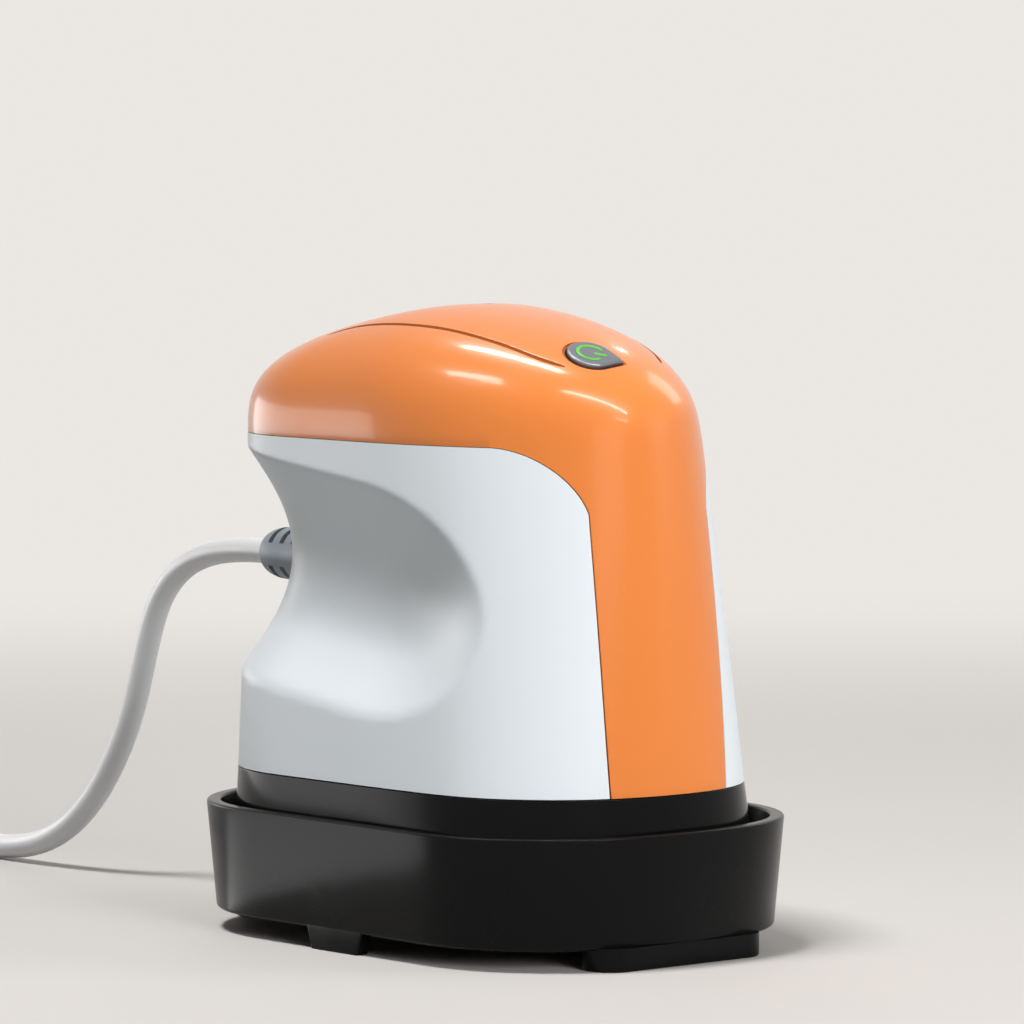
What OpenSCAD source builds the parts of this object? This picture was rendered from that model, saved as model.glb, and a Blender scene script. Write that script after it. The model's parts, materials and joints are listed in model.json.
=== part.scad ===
// Hand-held mini heat press in its heat-safe parking tray.
// Origin: middle of the tray on the surface it stands on. +Z up, front towards -Y, mains lead towards +Y.
// All sizes in millimetres.

/* [Pressing outline] */
// Length of the plate's outline, front to rear
plan_l = 120; // [114:1:124]
// Width of the plate's outline, side to side
plan_w = 80.6; // [77:0.2:84]
// Radius of the shallow arcs at the front and the rear
end_r = 78; // [74:1:84]
// Radius of the four corner arcs
corner_r = 32; // [29:0.5:34]

/* [Tray] */
// Height of the feet under the tray
foot_h = 4.4; // [3:0.2:7]
// Height of the tray wall
tray_h = 23.4; // [20:0.2:28]
// Wall thickness of the tray
tray_wall = 2.7; // [2.4:0.1:3.4]
// Thickness of the tray floor
tray_floor = 2.2; // [1.8:0.1:2.4]
// Space round the heating plate at the tray's floor
tray_clear = 0.5; // [0.4:0.1:1.1]
// How far the tray wall leans out towards its rim
tray_flare = 1.9; // [1:0.1:3]
// Height of the soft stand-off pads
pad_h = 4.2; // [4.1:0.1:6]
// Radius of the stand-off pads
pad_r = 5; // [3.5:0.5:6]
// Width of the bar feet, side to side
bar_foot_w = 45.2; // [36:0.2:54]
// Width of the bar feet, front to rear, with fully round ends
bar_foot_d = 12; // [9:0.5:13]
// Length of each side tab where it meets the tray
tab_l = 18.6; // [14:0.2:26]
// Slope of the side tab's ends, lost at each end
tab_slope = 1.7; // [1:0.1:4]
// Thickness of the side tabs
tab_t = 3.1; // [2:0.1:4]

/* [Heating plate] */
// Thickness of the plate's visible edge
plate_t = 3.6; // [3:0.1:5]
// How far the plate's edge is set in from the skirt
plate_inset = 0.1; // [0.1:0.1:1]
// Shadow gap between the plate and the skirt
plate_reveal = 0.3; // [0.2:0.05:0.6]
// Height of the raised island that carries the heating element
island_h = 4.5; // [3:0.5:6]
// Thickness of the heating element
element_t = 1.2; // [0.8:0.1:2]
// Thickness of the insulation felt
felt_t = 2.4; // [1.5:0.1:3]
// Thickness of the clamp plate
clamp_t = 1.2; // [0.8:0.1:1.6]

/* [Skirt] */
// Height of the skirt
skirt_h = 19.9; // [19:0.1:23]
// Wall thickness of the skirt
skirt_wall = 2.4; // [2:0.1:3]
// Thickness of the ledge inside the skirt
ledge_t = 2.2; // [1.8:0.1:3]
// Width of the ledge inside the skirt
ledge_w = 11; // [10:0.5:13]

/* [Housing] */
// Half length of the housing's foot, towards the front
front_l = 59.1; // [58.4:0.1:59.6]
// Half length of the housing's foot, towards the rear
rear_l = 59.8; // [59:0.1:60]
// Half width of the housing's foot
side_w = 38.9; // [38:0.1:39.8]
// Height of the press above the skirt's lower edge
press_h = 119.6; // [116:0.1:124]
// Height of the shoulder where the dome starts
shoulder_z = 92; // [90:0.5:94]
// Wall thickness of the housing and the cover
wall = 2.4; // [2:0.1:2.8]
// Height of the line where the cover meets the housing
split_z = 91.6; // [90:0.2:93]
// Radius of the corner in the cover's edge
split_r = 18.7; // [14:0.1:20]
// Gap in the seam between cover and housing
seam_gap = 0.12; // [0.1:0.01:0.2]

/* [Finger scoop] */
// Depth of the finger scoop
scoop_depth = 10.1; // [8:0.1:11]
// Half height of the finger scoop
scoop_half_h = 24; // [21:0.5:25]
// Height of the scoop's middle above the skirt's lower edge
scoop_z = 59; // [57:0.5:61]
// How far the scoop reaches forward of the middle
scoop_reach = 35; // [31:0.5:37]

/* [Power button] */
// Radius of the button's round end
button_r = 5; // [4.4:0.1:5.4]
// Travel of the button
button_travel = 0.8; // [0.5:0.1:1]
// Running gap round the button
button_gap = 0.3; // [0.2:0.05:0.5]

/* [Mains lead] */
// Diameter of the mains lead
lead_d = 5.5; // [5:0.1:6]
// Height of the lead's exit above the skirt's lower edge
lead_z = 62.7; // [62:0.1:63.4]
// Distance from the middle of the press to the end of the strain relief
gland_end_y = 75.4; // [75:0.1:76.2]
// Radius of the strain relief
gland_r = 5.8; // [5.4:0.1:6.4]
// Radius of the coil's outermost turn, to the middle of the lead
coil_r = 41; // [39:0.5:44]
// Gap between the turns of the coil
coil_gap = 0.45; // [0.42:0.01:0.8]
// Turns in each layer of the coil
coil_turns = 3.25; // [2.25:1:3.25]

/* [Plug] */
// Width of the plug
plug_w = 35.3; // [34:0.1:37]
// Thickness of the plug
plug_t = 13.7; // [13:0.1:15]
// Radius of a plug pin
pin_r = 2; // [1.9:0.05:2.4]
// Length of a plug pin
pin_l = 19; // [17:0.5:20]
// Distance between the plug pins
pin_pitch = 18.6; // [17.5:0.1:19]

/* [Hidden] */

// Colours
black = [0.10, 0.10, 0.105];
dark = [0.16, 0.16, 0.17];
white = [0.90, 0.93, 0.95];
orange = [0.96, 0.55, 0.28];
silver = [0.68, 0.70, 0.74];
green = [0.30, 0.85, 0.15];
grey = [0.52, 0.55, 0.58];
steel = [0.74, 0.75, 0.77];
felt = [0.86, 0.84, 0.78];
board_green = [0.10, 0.38, 0.22];

// Heights in the parked position
floor_z = foot_h + tray_floor;
rim_z = foot_h + tray_h;
dock_gap = 0.3;
plate_z = floor_z + pad_h + dock_gap;
press_z = plate_z + plate_t + plate_reveal;
island_z = plate_z + plate_t;
element_z = island_z + island_h;
felt_z = element_z + element_t;
clamp_z = felt_z + felt_t;
clamp_top = clamp_z + clamp_t;
ledge_z = press_z + skirt_h - ledge_t - 3;
ledge_top = ledge_z + ledge_t;

lead_r = lead_d / 2;

// Half sizes of the pressing face and the centres of its arcs
half_l = plan_l / 2;
half_w = plan_w / 2;
end_y = half_l - end_r;
corner_x = half_w - corner_r;
corner_dy = sqrt(pow(end_r - corner_r, 2) - pow(corner_x, 2));
corner_y = end_y + corner_dy;
corner_a = atan2(corner_x, corner_dy);

// Points per quarter of an outline: end arc, corner arc, straight side
end_n = 3;
corner_n = 8;
side_n = 4;

// Quarter outline from the rear centre to the side, without its last point
quarter = concat(
    [for (i = [0:end_n - 1]) let (a = corner_a * i / end_n) [end_r * sin(a), end_y + end_r * cos(a)]],
    [for (i = [0:corner_n - 1]) let (a = corner_a + (90 - corner_a) * i / corner_n)
        [corner_x + corner_r * sin(a), corner_y + corner_r * cos(a)]],
    [for (i = [0:side_n - 1]) [half_w, corner_y * (1 - i / side_n)]]);
quarter_n = len(quarter);
ring_n = 4 * quarter_n;

// Whole outline, clockwise seen from above, starting at the rear centre
outline = [for (i = [0:ring_n - 1])
    let (q = floor(i / quarter_n), k = i % quarter_n)
    q == 0 ? quarter[k] :
    q == 1 ? (k == 0 ? [half_w, 0] : [quarter[quarter_n - k].x, -quarter[quarter_n - k].y]) :
    q == 2 ? [-quarter[k].x, -quarter[k].y] :
    (k == 0 ? [-half_w, 0] : [-quarter[quarter_n - k].x, quarter[quarter_n - k].y])];

// The same outline with half the points, for inner surfaces
inner_outline = [for (i = [0:2:ring_n - 1]) outline[i]];

// The outline moved part of the way towards an ellipse of the same size
function soft_point(p, soft) =
    let (a = atan2(p.x / half_w, p.y / half_l))
    [p.x + (half_w * sin(a) - p.x) * soft, p.y + (half_l * cos(a) - p.y) * soft];

// Outline with its own half lengths to the front and rear and its own half width
function ring_2d(front, rear, side, soft = 0, mid_y = 0, shape = outline, soft_rear = 0) =
    [for (p = shape)
        let (s = soft_point(p, p.y < 0 ? soft : soft_rear))
        [s.x * side / half_w, mid_y + s.y * (p.y < 0 ? front + mid_y : rear - mid_y) / half_l]];

// Pressing outline grown or shrunk evenly
function grown(o, shape = outline) = ring_2d(half_l + o, half_l + o, half_w + o, 0, 0, shape);

function unit(v) = v / norm(v);

function lift(points, z) = [for (p = points) [p.x, p.y, z]];

// Faces between rings of the same number of points, listed from the bottom up
function loft_faces(rings, n) =
    [for (k = [0:rings - 2], i = [0:n - 1])
        let (a = k * n + i, b = k * n + (i + 1) % n)
        each [[a, b, b + n], [a, b + n, a + n]]];

// Solid between flat rings, closed by flat ends
module loft(rings) {
    n = len(rings[0]);
    m = len(rings);
    polyhedron(
        points = [for (r = rings) each r],
        faces = concat(loft_faces(m, n),
            [[for (i = [n - 1:-1:0]) i]],
            [[for (i = [0:n - 1]) (m - 1) * n + i]]),
        convexity = 6);
}

// Solid between flat rings, closed by a flat end below and a pole above
module domed_loft(rings, pole) {
    n = len(rings[0]);
    m = len(rings);
    polyhedron(
        points = concat([for (r = rings) each r], [pole]),
        faces = concat(loft_faces(m, n),
            [[for (i = [n - 1:-1:0]) i]],
            [for (i = [0:n - 1]) [(m - 1) * n + i, (m - 1) * n + (i + 1) % n, m * n]]),
        convexity = 10);
}

// ---- Body of the press: wall and dome ----

// Lower edge of the housing, over the skirt
body_low = skirt_h + seam_gap;

// Bow and draft of the wall, over a reference rise
rise_ref = 70;
front_draft = 0.031;
front_bow = 3.35;
side_draft = 0.07;
side_bow = 1.1;
soft_foot = 0.22;
soft_rise = 0.64;
// Exponents of the dome's curve upwards, and outwards to the front, the rear and the sides
dome_up = 3;
dome_out = [1.17, 1.1, 2];
pole_soft = 0.13;
pole_y = 5.8;

function rise(z) = z - skirt_h;
function wall_front(z) = front_l - front_draft * rise(z) - front_bow * pow(rise(z) / rise_ref, 2);
function wall_side(z) = side_w - side_draft * rise(z) + side_bow * pow(rise(z) / rise_ref, 2);
function soft_at(z) = min(1, soft_foot + soft_rise * max(0, rise(z)) / rise_ref);
function mid_at(z) = pole_y * pow(max(0, z - 60) / (press_h - 60), 2);

// Distance from the axis to the dome, as a share of the wall's, from the curve's own share
function dome_share(s) =
    let (k = sqrt(1 + pow(pole_soft, 2)) - pole_soft)
    sqrt(pow(s * k + pole_soft, 2) - pow(pole_soft, 2));

// Middle and half height of the finger scoop's outline at a distance along the press
function scoop_mid(y) = scoop_z + 0.12 * y;
function scoop_q(y, z) =
    pow((z - scoop_mid(y)) / scoop_half_h, 2) + pow(min(y, 0) / scoop_reach, 2);
function scoop_at(y, z) = scoop_depth * pow(max(0, 1 - scoop_q(y, z)), 1.15);

// Ring of the body at height z, with the dome's shares of the wall's front, rear and side, set in by t
function body_ring(z, share = [1, 1, 1], t = 0, shape = outline) =
    let (flat = ring_2d((wall_front(z) - t) * share[0], (rear_l - t) * share[1],
            (wall_side(z) - t) * share[2], soft_at(z), mid_at(z), shape, 1 - share[1]),
        n = len(flat))
    [for (i = [0:n - 1])
        let (d = flat[(i + 1) % n] - flat[(i + n - 1) % n],
            out = [-d.y, d.x] / norm(d),
            in = share[0] < 1 ? 0 : scoop_at(flat[i].y + out.y * t, z))
        [flat[i].x - out.x * in, flat[i].y - out.y * in, press_z + z]];

// Solid body of the press set in by t, from z = low up to the pole
module body_solid(t = 0, low = body_low, step = 4.6, dome_n = 10, shape = outline) {
    top = press_h - t;
    wall_n = ceil((shoulder_z - low) / step);
    wall_rings = [for (i = [0:wall_n]) body_ring(low + (shoulder_z - low) * i / wall_n, [1, 1, 1], t, shape)];
    dome_rings = [for (i = [1:dome_n - 1])
        let (a = 90 * i / dome_n,
            z = shoulder_z + (top - shoulder_z) * pow(sin(a), 2 / dome_up),
            share = [for (e = dome_out) dome_share(pow(cos(a), 2 / e))])
        body_ring(z, share, t, shape)];
    domed_loft(concat(wall_rings, dome_rings), [0, pole_y, press_z + top]);
}

// Inner side of a wall of thickness t, in coarser steps
module body_core(t, low = body_low - 1) body_solid(t, low, 8, 7, inner_outline);

// Side view of the cover's region, moved by g across the seam
split_corner_y = -32;
split_turn = 74;
edge_foot_y = -56.55;
edge_bow = 0.28;
edge_steps = 6;
front_window_w = 27;
module cover_region(g = 0) {
    far = 200;
    corner = [split_corner_y, split_z - split_r];
    meet = corner + split_r * [cos(90 + split_turn), sin(90 + split_turn)];
    translate([-far, 0, press_z]) rotate([90, 0, 90])
        linear_extrude(2 * far)
            polygon(concat(
                [[far, split_z - g]],
                [for (i = [0:edge_steps]) let (a = 90 + split_turn * i / edge_steps)
                    corner + (split_r - g) * [cos(a), sin(a)]],
                [for (i = [edge_steps - 1:-1:0]) let (u = i / edge_steps)
                    [edge_foot_y + g + (meet.x - edge_foot_y) * u * (1 - edge_bow + edge_bow * u),
                        skirt_h + (meet.y - skirt_h) * u]],
                [[edge_foot_y + g, -far]],
                [[-far, -far], [-far, far], [far, far]]));
}

// ---- Places shared by several pieces ----

// Screws that hold the heating plate to the skirt, and the housing to the skirt
plate_screw_xy = [[25, 42], [25, -42], [-25, -42], [-25, 42]];
housing_screw_xy = [[31, 16], [31, -16], [-31, -16], [-31, 16]];
screw_r = 1.5;
screw_clear = 0.2;
thread_gap = 0.02;
head_r = 2.8;
head_h = 1.8;
small_screw_r = 1;
boss_r = 3.4;

// Pan-head screw along +Z with its head's underside at z = 0 and its shank below
module screw(length, r = screw_r) {
    translate([0, 0, -length]) cylinder(h = length, r = r, $fn = 24);
    difference() {
        cylinder(h = head_h, r1 = head_r * r / screw_r, r2 = head_r * r / screw_r * 0.8, $fn = 24);
        translate([0, 0, head_h * 0.45])
            for (a = [0, 90]) rotate(a)
                translate([-head_r * 0.6, -0.35, 0]) cube([head_r * 1.2, 0.7, head_h]);
    }
}

// ---- Tray ----

module tray_outer() {
    o = tray_clear + tray_wall;
    lean = tray_flare / tray_h;
    loft([
        lift(grown(o - 1), foot_h),
        lift(grown(o - 0.3), foot_h + 0.3),
        lift(grown(o + lean), foot_h + 1),
        lift(grown(o + tray_flare), rim_z - 0.4),
        lift(grown(o + tray_flare - 0.4), rim_z)]);
}

module tray_inner() {
    lean = tray_flare / tray_h;
    loft([
        lift(grown(tray_clear - 0.5, inner_outline), floor_z),
        lift(grown(tray_clear + lean * 4, inner_outline), floor_z + 1.6),
        lift(grown(tray_clear + tray_flare, inner_outline), rim_z - 0.4),
        lift(grown(tray_clear + tray_flare + 0.4, inner_outline), rim_z + 0.01)]);
}

// Bar foot across the width, with round ends, its long side level with the middle of the tray's end
foot_joint = 0.6;
module bar_foot() {
    r = bar_foot_d / 2;
    linear_extrude(foot_h + foot_joint)
        hull()
            for (x = [-1, 1])
                translate([x * (bar_foot_w / 2 - r), half_l + tray_clear + tray_wall - r]) circle(r, $fn = 32);
}

// Tab flush with the tray's side, narrower at the bottom
module side_tab() {
    half = tab_l / 2;
    translate([half_w + tray_clear + tray_wall, 0, 0]) rotate([90, 0, -90]) linear_extrude(tab_t)
        polygon([[-half, foot_h + 1], [-half, foot_h], [tab_slope - half, 0],
            [half - tab_slope, 0], [half, foot_h], [half, foot_h + 1]]);
}

module base_tray() {
    color(black) {
        difference() {
            tray_outer();
            tray_inner();
        }
        for (a = [0, 180]) rotate(a) {
            bar_foot();
            side_tab();
        }
    }
}

pad_xy = [[20, 46], [20, -46], [-20, -46], [-20, 46]];
module tray_pads() {
    color(dark)
        for (p = pad_xy)
            translate([p.x, p.y, floor_z])
                rotate_extrude($fn = 32)
                    polygon([[0, 0], [pad_r, 0], [pad_r, pad_h - 0.8], [pad_r - 0.8, pad_h], [0, pad_h]]);
}

// ---- Heating plate and what lies on it ----

plate_round = 1;
island_in = 11;
boss_top = ledge_z - 0.4;
module heating_plate() {
    color(dark) {
        difference() {
            union() {
                translate([0, 0, plate_z]) {
                    loft([
                        lift(grown(-plate_inset - plate_round), 0),
                        lift(grown(-plate_inset - plate_round * 0.3), plate_round * 0.35),
                        lift(grown(-plate_inset), plate_round * 1.1),
                        lift(grown(-plate_inset), plate_t)]);
                }
                loft([lift(grown(-island_in), island_z - 0.01), lift(grown(-island_in - 1), element_z)]);
            }
            for (p = plate_screw_xy)
                translate([p.x, p.y, island_z + 0.5]) cylinder(h = 30, r = boss_r - 0.2, $fn = 24);
            for (p = stack_screw_xy)
                translate([p.x, p.y, element_z - stack_screw_in - 0.3])
                    cylinder(h = 10, r = screw_r + thread_gap, $fn = 24);
        }
        for (p = plate_screw_xy)
            translate([p.x, p.y, 0])
                difference() {
                    translate([0, 0, island_z - 0.5])
                        cylinder(h = boss_top - island_z + 0.5, r = boss_r, $fn = 32);
                    translate([0, 0, island_z + 1]) cylinder(h = 30, r = screw_r + thread_gap, $fn = 24);
                }
    }
}

// Flat sheet with the island's outline, notched round the bosses
module island_sheet(z, t, in) {
    difference() {
        translate([0, 0, z]) linear_extrude(t) polygon(grown(-island_in - in));
        for (p = plate_screw_xy)
            translate([p.x, p.y, z - 1]) cylinder(h = t + 2, r = boss_r + 0.8, $fn = 32);
        for (p = stack_screw_xy)
            translate([p.x, p.y, z - 1]) cylinder(h = t + 2, r = screw_r + screw_clear, $fn = 24);
    }
}

stack_screw_xy = [[0, 36], [20, 0], [0, -36], [-20, 0]];
stack_screw_in = 3;
sheet_gap = 0.02;
module heating_element() color(steel) island_sheet(element_z + sheet_gap, element_t - 2 * sheet_gap, 4);
module insulation_felt() color(felt) island_sheet(felt_z, felt_t, 3);
module clamp_plate() color(silver) island_sheet(clamp_z + sheet_gap, clamp_t - sheet_gap, 3.5);

module plate_screws() {
    color(steel)
        for (p = stack_screw_xy)
            translate([p.x, p.y, clamp_top + sheet_gap]) screw(clamp_top - element_z + stack_screw_in);
}

// ---- Skirt ----

// Outline of the housing's foot, set in by t
function foot_ring(t) = ring_2d(front_l - t, rear_l - t, side_w - t, soft_foot, 0, inner_outline);

module skirt() {
    t = skirt_wall;
    color(black) {
        difference() {
            loft([
                lift(grown(-0.35), press_z),
                lift(grown(-0.05), press_z + 0.5),
                body_ring(skirt_h)]);
            loft([
                lift(grown(-t - 0.3, inner_outline), press_z - 0.01),
                lift(foot_ring(t), ledge_z)]);
            translate([0, 0, ledge_z - 0.01])
                linear_extrude(ledge_t + 0.02) polygon(foot_ring(t + ledge_w));
            loft([
                lift(foot_ring(t), ledge_top),
                body_ring(skirt_h + 0.01, [1, 1, 1], t, inner_outline)]);
            for (p = concat(plate_screw_xy, housing_screw_xy))
                translate([p.x, p.y, ledge_z - 1])
                    cylinder(h = ledge_t + 2, r = screw_r + screw_clear, $fn = 24);
        }
    }
}

module skirt_screws() {
    color(steel)
        for (p = plate_screw_xy)
            translate([p.x, p.y, ledge_top + sheet_gap]) screw(ledge_t + 8);
}

// Sheet that lies on the ledge between the hot side and the electronics
shield_t = 0.8;
shield_edge = 1.5;
module heat_shield() {
    color(felt)
        translate([0, 0, ledge_top + sheet_gap]) linear_extrude(shield_t)
            difference() {
                polygon(foot_ring(skirt_wall + shield_edge));
                for (p = concat(plate_screw_xy, housing_screw_xy))
                    translate(p) circle(boss_r + 0.4, $fn = 24);
                translate([-22, -22]) square([32, 30]);
            }
}

// ---- Housing and cover ----

boss_low = ledge_top + 0.05;
boss_rise = 14;
boss_web_l = 12;
boss_web_t = 2;
boss_web_up = press_z + body_low - boss_low;

// Inner volume of the body, reaching a little into its wall
module inner_room() body_core(wall * 0.5, 10);

// Shell of the whole body before the cover and the housing are parted
module body_shell() {
    difference() {
        body_solid();
        body_core(wall);
    }
}

module housing() {
    color(white) {
        difference() {
            union() {
                difference() {
                    body_shell();
                    cover_region(seam_gap);
                    front_window();
                }
                intersection() {
                    inner_room();
                    union() {
                        housing_bosses();
                        board_guides();
                        clamp_shelf();
                    }
                }
            }
            gland_seat();
            for (p = housing_screw_xy)
                translate([p.x, p.y, boss_low - 0.5])
                    cylinder(h = boss_rise - 2, r = screw_r + thread_gap, $fn = 24);
            for (x = [-1, 1])
                translate([x * clamp_screw_x, clamp_y, press_z + lead_z - 12])
                    cylinder(h = 12, r = small_screw_r + thread_gap, $fn = 24);
        }
    }
}

// Opening in the housing's front wall, closed by the cover's front band
front_window_h = 60;
front_window_d = 20;
module front_window()
    translate([-front_window_w / 2, -half_l - front_window_d / 2, press_z + skirt_h - 1])
        cube([front_window_w, front_window_d, front_window_h]);

module housing_screws() {
    color(steel)
        for (p = housing_screw_xy)
            translate([p.x, p.y, ledge_z - sheet_gap]) mirror([0, 0, 1]) screw(ledge_t + 8);
}

// Screw bosses standing on the skirt's ledge, tied to the side walls
module housing_bosses()
    for (p = housing_screw_xy)
        translate([p.x, p.y, boss_low]) {
            cylinder(h = boss_rise, r = boss_r, $fn = 24);
            translate([p.x > 0 ? 0 : -boss_web_l, -boss_web_t / 2, boss_web_up])
                cube([boss_web_l, boss_web_t, boss_rise - boss_web_up]);
        }

// Pairs of ribs at each side that hold the edges of the control board
board_y = -25;
board_t = 1.6;
board_w = 50;
board_low = press_z + skirt_h + 4;
board_h = 60;
guide_gap = 0.15;
guide_t = 1.6;
module board_guides()
    for (s = [-1, 1], d = [-1, 1])
        translate([s > 0 ? board_w / 2 - 2.5 : -board_w / 2 - 12,
            board_y - guide_t / 2 + d * (board_t / 2 + guide_gap + guide_t / 2), board_low - 2])
            cube([14.5, guide_t, board_h * 0.75]);

// ---- Mains lead inside the housing ----

gland_neck_r = 4.9;
gland_flange_r = gland_r + 1.8;
gland_flange_t = 2.4;
gland_wall_y = rear_l - scoop_at(rear_l, lead_z) - wall / 2;
gland_seat_in = gland_wall_y - 0.9;
gland_seat_out = gland_wall_y + 0.9;
gland_fit = 0.15;

// Round hole through the rear wall with a flat seat on each side
module gland_seat()
    translate([0, 0, press_z + lead_z]) rotate([-90, 0, 0]) {
        translate([0, 0, gland_seat_in - gland_flange_t - gland_fit])
            cylinder(h = gland_flange_t + gland_fit, r = gland_flange_r + gland_fit, $fn = 48);
        translate([0, 0, gland_seat_out]) cylinder(h = 9, r = gland_r + gland_fit, $fn = 48);
        translate([0, 0, gland_wall_y - 5]) cylinder(h = 10, r = gland_neck_r + gland_fit, $fn = 48);
    }

clamp_y = gland_wall_y - 9;
clamp_screw_x = 7;
module clamp_shelf()
    translate([-11, clamp_y - 4, press_z + lead_z - lead_r - 9]) cube([22, 30, 9]);

module top_cover() {
    color(orange)
        difference() {
            union() {
                intersection() {
                    body_shell();
                    cover_region();
                }
                cover_hooks();
                intersection() {
                    body_core(wall / 2, 60);
                    union() {
                        hook_blocks(split_z + 0.5, split_z + 12);
                        button_posts();
                    }
                }
            }
            button_frame() {
                translate([0, 0, -12]) linear_extrude(30) polygon(drop(button_r + button_gap));
                translate([0, 0, -recess_depth]) linear_extrude(30) polygon(drop(button_r + recess_w));
            }
            top_grooves();
        }
}

// Snap hooks that reach down behind the housing's wall
hook_xy = [[28.5, 26], [-28.5, 26], [28.5, -6], [-28.5, -6]];
hook_l = 5;
module hook_blocks(low, high)
    for (p = hook_xy)
        translate([p.x > 0 ? p.x : p.x - 12, p.y - 3, press_z + low]) cube([12, 6, high - low]);

module cover_hooks()
    intersection() {
        body_core(wall + 0.3, 60);
        hook_blocks(split_z - hook_l, split_z + 1);
    }

// Pair of grooves along the dome, seen from above
groove_path = [[24.2, 26], [22.9, 20], [22.4, 14], [22.3, 7], [21.9, -1], [21.2, -7], [20.5, -12], [19.8, -17],
    [18.9, -22], [18.1, -26], [17.2, -30], [16.2, -33.5], [14.9, -36.4], [13.2, -39.1]];
groove_w = 1.1;
groove_depth = 0.7;
module top_grooves() {
    n = len(groove_path);
    side = [for (i = [0:n - 1])
        let (d = unit(groove_path[min(i + 1, n - 1)] - groove_path[max(i - 1, 0)]))
        [-d.y, d.x] * groove_w / 2];
    difference() {
        for (m = [0, 1]) mirror([m, 0, 0])
            translate([0, 0, press_z + shoulder_z]) linear_extrude(press_h - shoulder_z + 1)
                polygon(concat(groove_path + side, [for (i = [n - 1:-1:0]) groove_path[i] - side[i]]));
        body_solid(groove_depth, 80, 12, 10, outline);
    }
}

// ---- Power button on the front slope of the dome ----

// Middle of the button's round end on the dome, and the tilt of the dome there
button_up = 110.2;
button_at = [-5.8, -38.3, press_z + button_up];
button_tilt = [26, -8.4];
button_turn = -45;
button_proud = 0.5;
module button_frame() {
    translate(button_at) rotate([button_tilt.x, button_tilt.y, 0]) children();
}

// Drop shape: a circle with one square corner
function drop(r) =
    [for (p = concat([for (a = [315:-9:45]) r * [cos(a), sin(a)]], [[r * sqrt(2), 0]]))
        [p.x * cos(button_turn) - p.y * sin(button_turn), p.x * sin(button_turn) + p.y * cos(button_turn)]];

// Recess round the button, and the flange that keeps it in the cover
recess_w = 0.9;
recess_depth = 0.5;
flange_low = -wall - 1.9;
flange_h = 1;
edge_round = 0.5;
stem_r = 1.6;
stem_end = flange_low - 1.5;
symbol_depth = 0.6;
module power_button() {
    color(silver) button_frame() {
        difference() {
            loft([
                lift(drop(button_r), flange_low),
                lift(drop(button_r), button_proud - edge_round),
                lift(drop(button_r - 0.15), button_proud - edge_round * 0.3),
                lift(drop(button_r - edge_round), button_proud)]);
            translate([0, 0, button_proud - symbol_depth]) button_symbol(1, 0.05);
        }
        translate([0, 0, flange_low]) cylinder(h = flange_h, r = button_r + 1.2, $fn = 48);
        translate([0, 0, stem_end]) cylinder(h = 2, r = stem_r, $fn = 32);
    }
}

// Generic power symbol: an open ring with a bar in its gap
module button_symbol(h, grow = 0) {
    r = button_r * 0.56;
    w = 0.75 + 2 * grow;
    rotate(button_turn - 90) linear_extrude(h) {
        difference() {
            circle(r + w / 2, $fn = 48);
            circle(r - w / 2, $fn = 48);
            translate([0, r]) square([r * 1.1, r * 1.2], center = true);
        }
        translate([0, r * 0.75]) square([w, r * 1.1], center = true);
    }
}

module button_light() {
    color(green) button_frame()
        translate([0, 0, button_proud - symbol_depth + 0.02]) button_symbol(symbol_depth);
}

// Small board under the button, its switch and its screws
switch_h = 3.4;
switch_w = 6;
plunger_gap = 0.05;
small_board_t = 1.2;
small_board_z = stem_end - button_travel - plunger_gap - switch_h - small_board_t;
small_board_x = 9;
module button_posts()
    button_frame()
        for (x = [-1, 1])
            translate([x * small_board_x, 0, small_board_z + small_board_t + plunger_gap]) difference() {
                cylinder(h = 16, r = 2.4, $fn = 24);
                translate([0, 0, -1]) cylinder(h = 5, r = small_screw_r + thread_gap, $fn = 24);
            }

module button_board() {
    color(board_green) button_frame()
        translate([0, 0, small_board_z]) difference() {
            translate([-12, -6, 0]) cube([24, 12, small_board_t]);
            for (x = [-1, 1]) translate([x * small_board_x, 0, -1]) cylinder(h = 4, r = 1.2, $fn = 24);
        }
}

module button_board_screws() {
    color(steel) button_frame()
        for (x = [-1, 1])
            translate([x * small_board_x, 0, small_board_z - sheet_gap]) mirror([0, 0, 1])
                screw(3.5, small_screw_r);
}

module tact_switch() {
    color(dark) button_frame()
        translate([0, 0, small_board_z + small_board_t + sheet_gap]) {
            translate([-switch_w / 2, -switch_w / 2, 0]) cube([switch_w, switch_w, switch_h - 1]);
            cylinder(h = switch_h - sheet_gap, r = stem_r, $fn = 32);
        }
}

// ---- Control board ----

board_back = board_y + board_t / 2;
module control_board() {
    color(board_green)
        translate([-board_w / 2, board_y - board_t / 2, board_low]) cube([board_w, board_t, board_h]);
}

part_gap = 0.05;
module board_transformer() {
    color([0.85, 0.75, 0.25])
        translate([-20, board_back + part_gap, board_low + 30]) {
            cube([18, 13, 16]);
            translate([-2.5, 2, 3]) cube([23, 9, 10]);
        }
}

module board_capacitor() {
    color([0.15, 0.2, 0.35])
        translate([10, board_back + part_gap + 6.3, board_low + 30])
            cylinder(h = 18, r = 6.3, $fn = 48);
}

module board_triac() {
    color(dark)
        translate([-12, board_back + part_gap, board_low + 12]) {
            cube([10, 4.5, 9]);
            translate([0, 1.6, 9]) difference() {
                cube([10, 1.3, 6]);
                translate([5, 3, 3]) rotate([90, 0, 0]) cylinder(h = 6, r = 1.6, $fn = 24);
            }
        }
}

module board_terminal() {
    color([0.2, 0.55, 0.3])
        translate([4, board_back + part_gap, board_low + 10]) difference() {
            cube([15, 8, 10]);
            for (x = [3.75, 11.25])
                translate([x, 9, 4]) rotate([90, 0, 0]) cylinder(h = 5, r = 1.6, $fn = 24);
        }
}

// ---- Temperature sensor and fuse on the island ----

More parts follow.
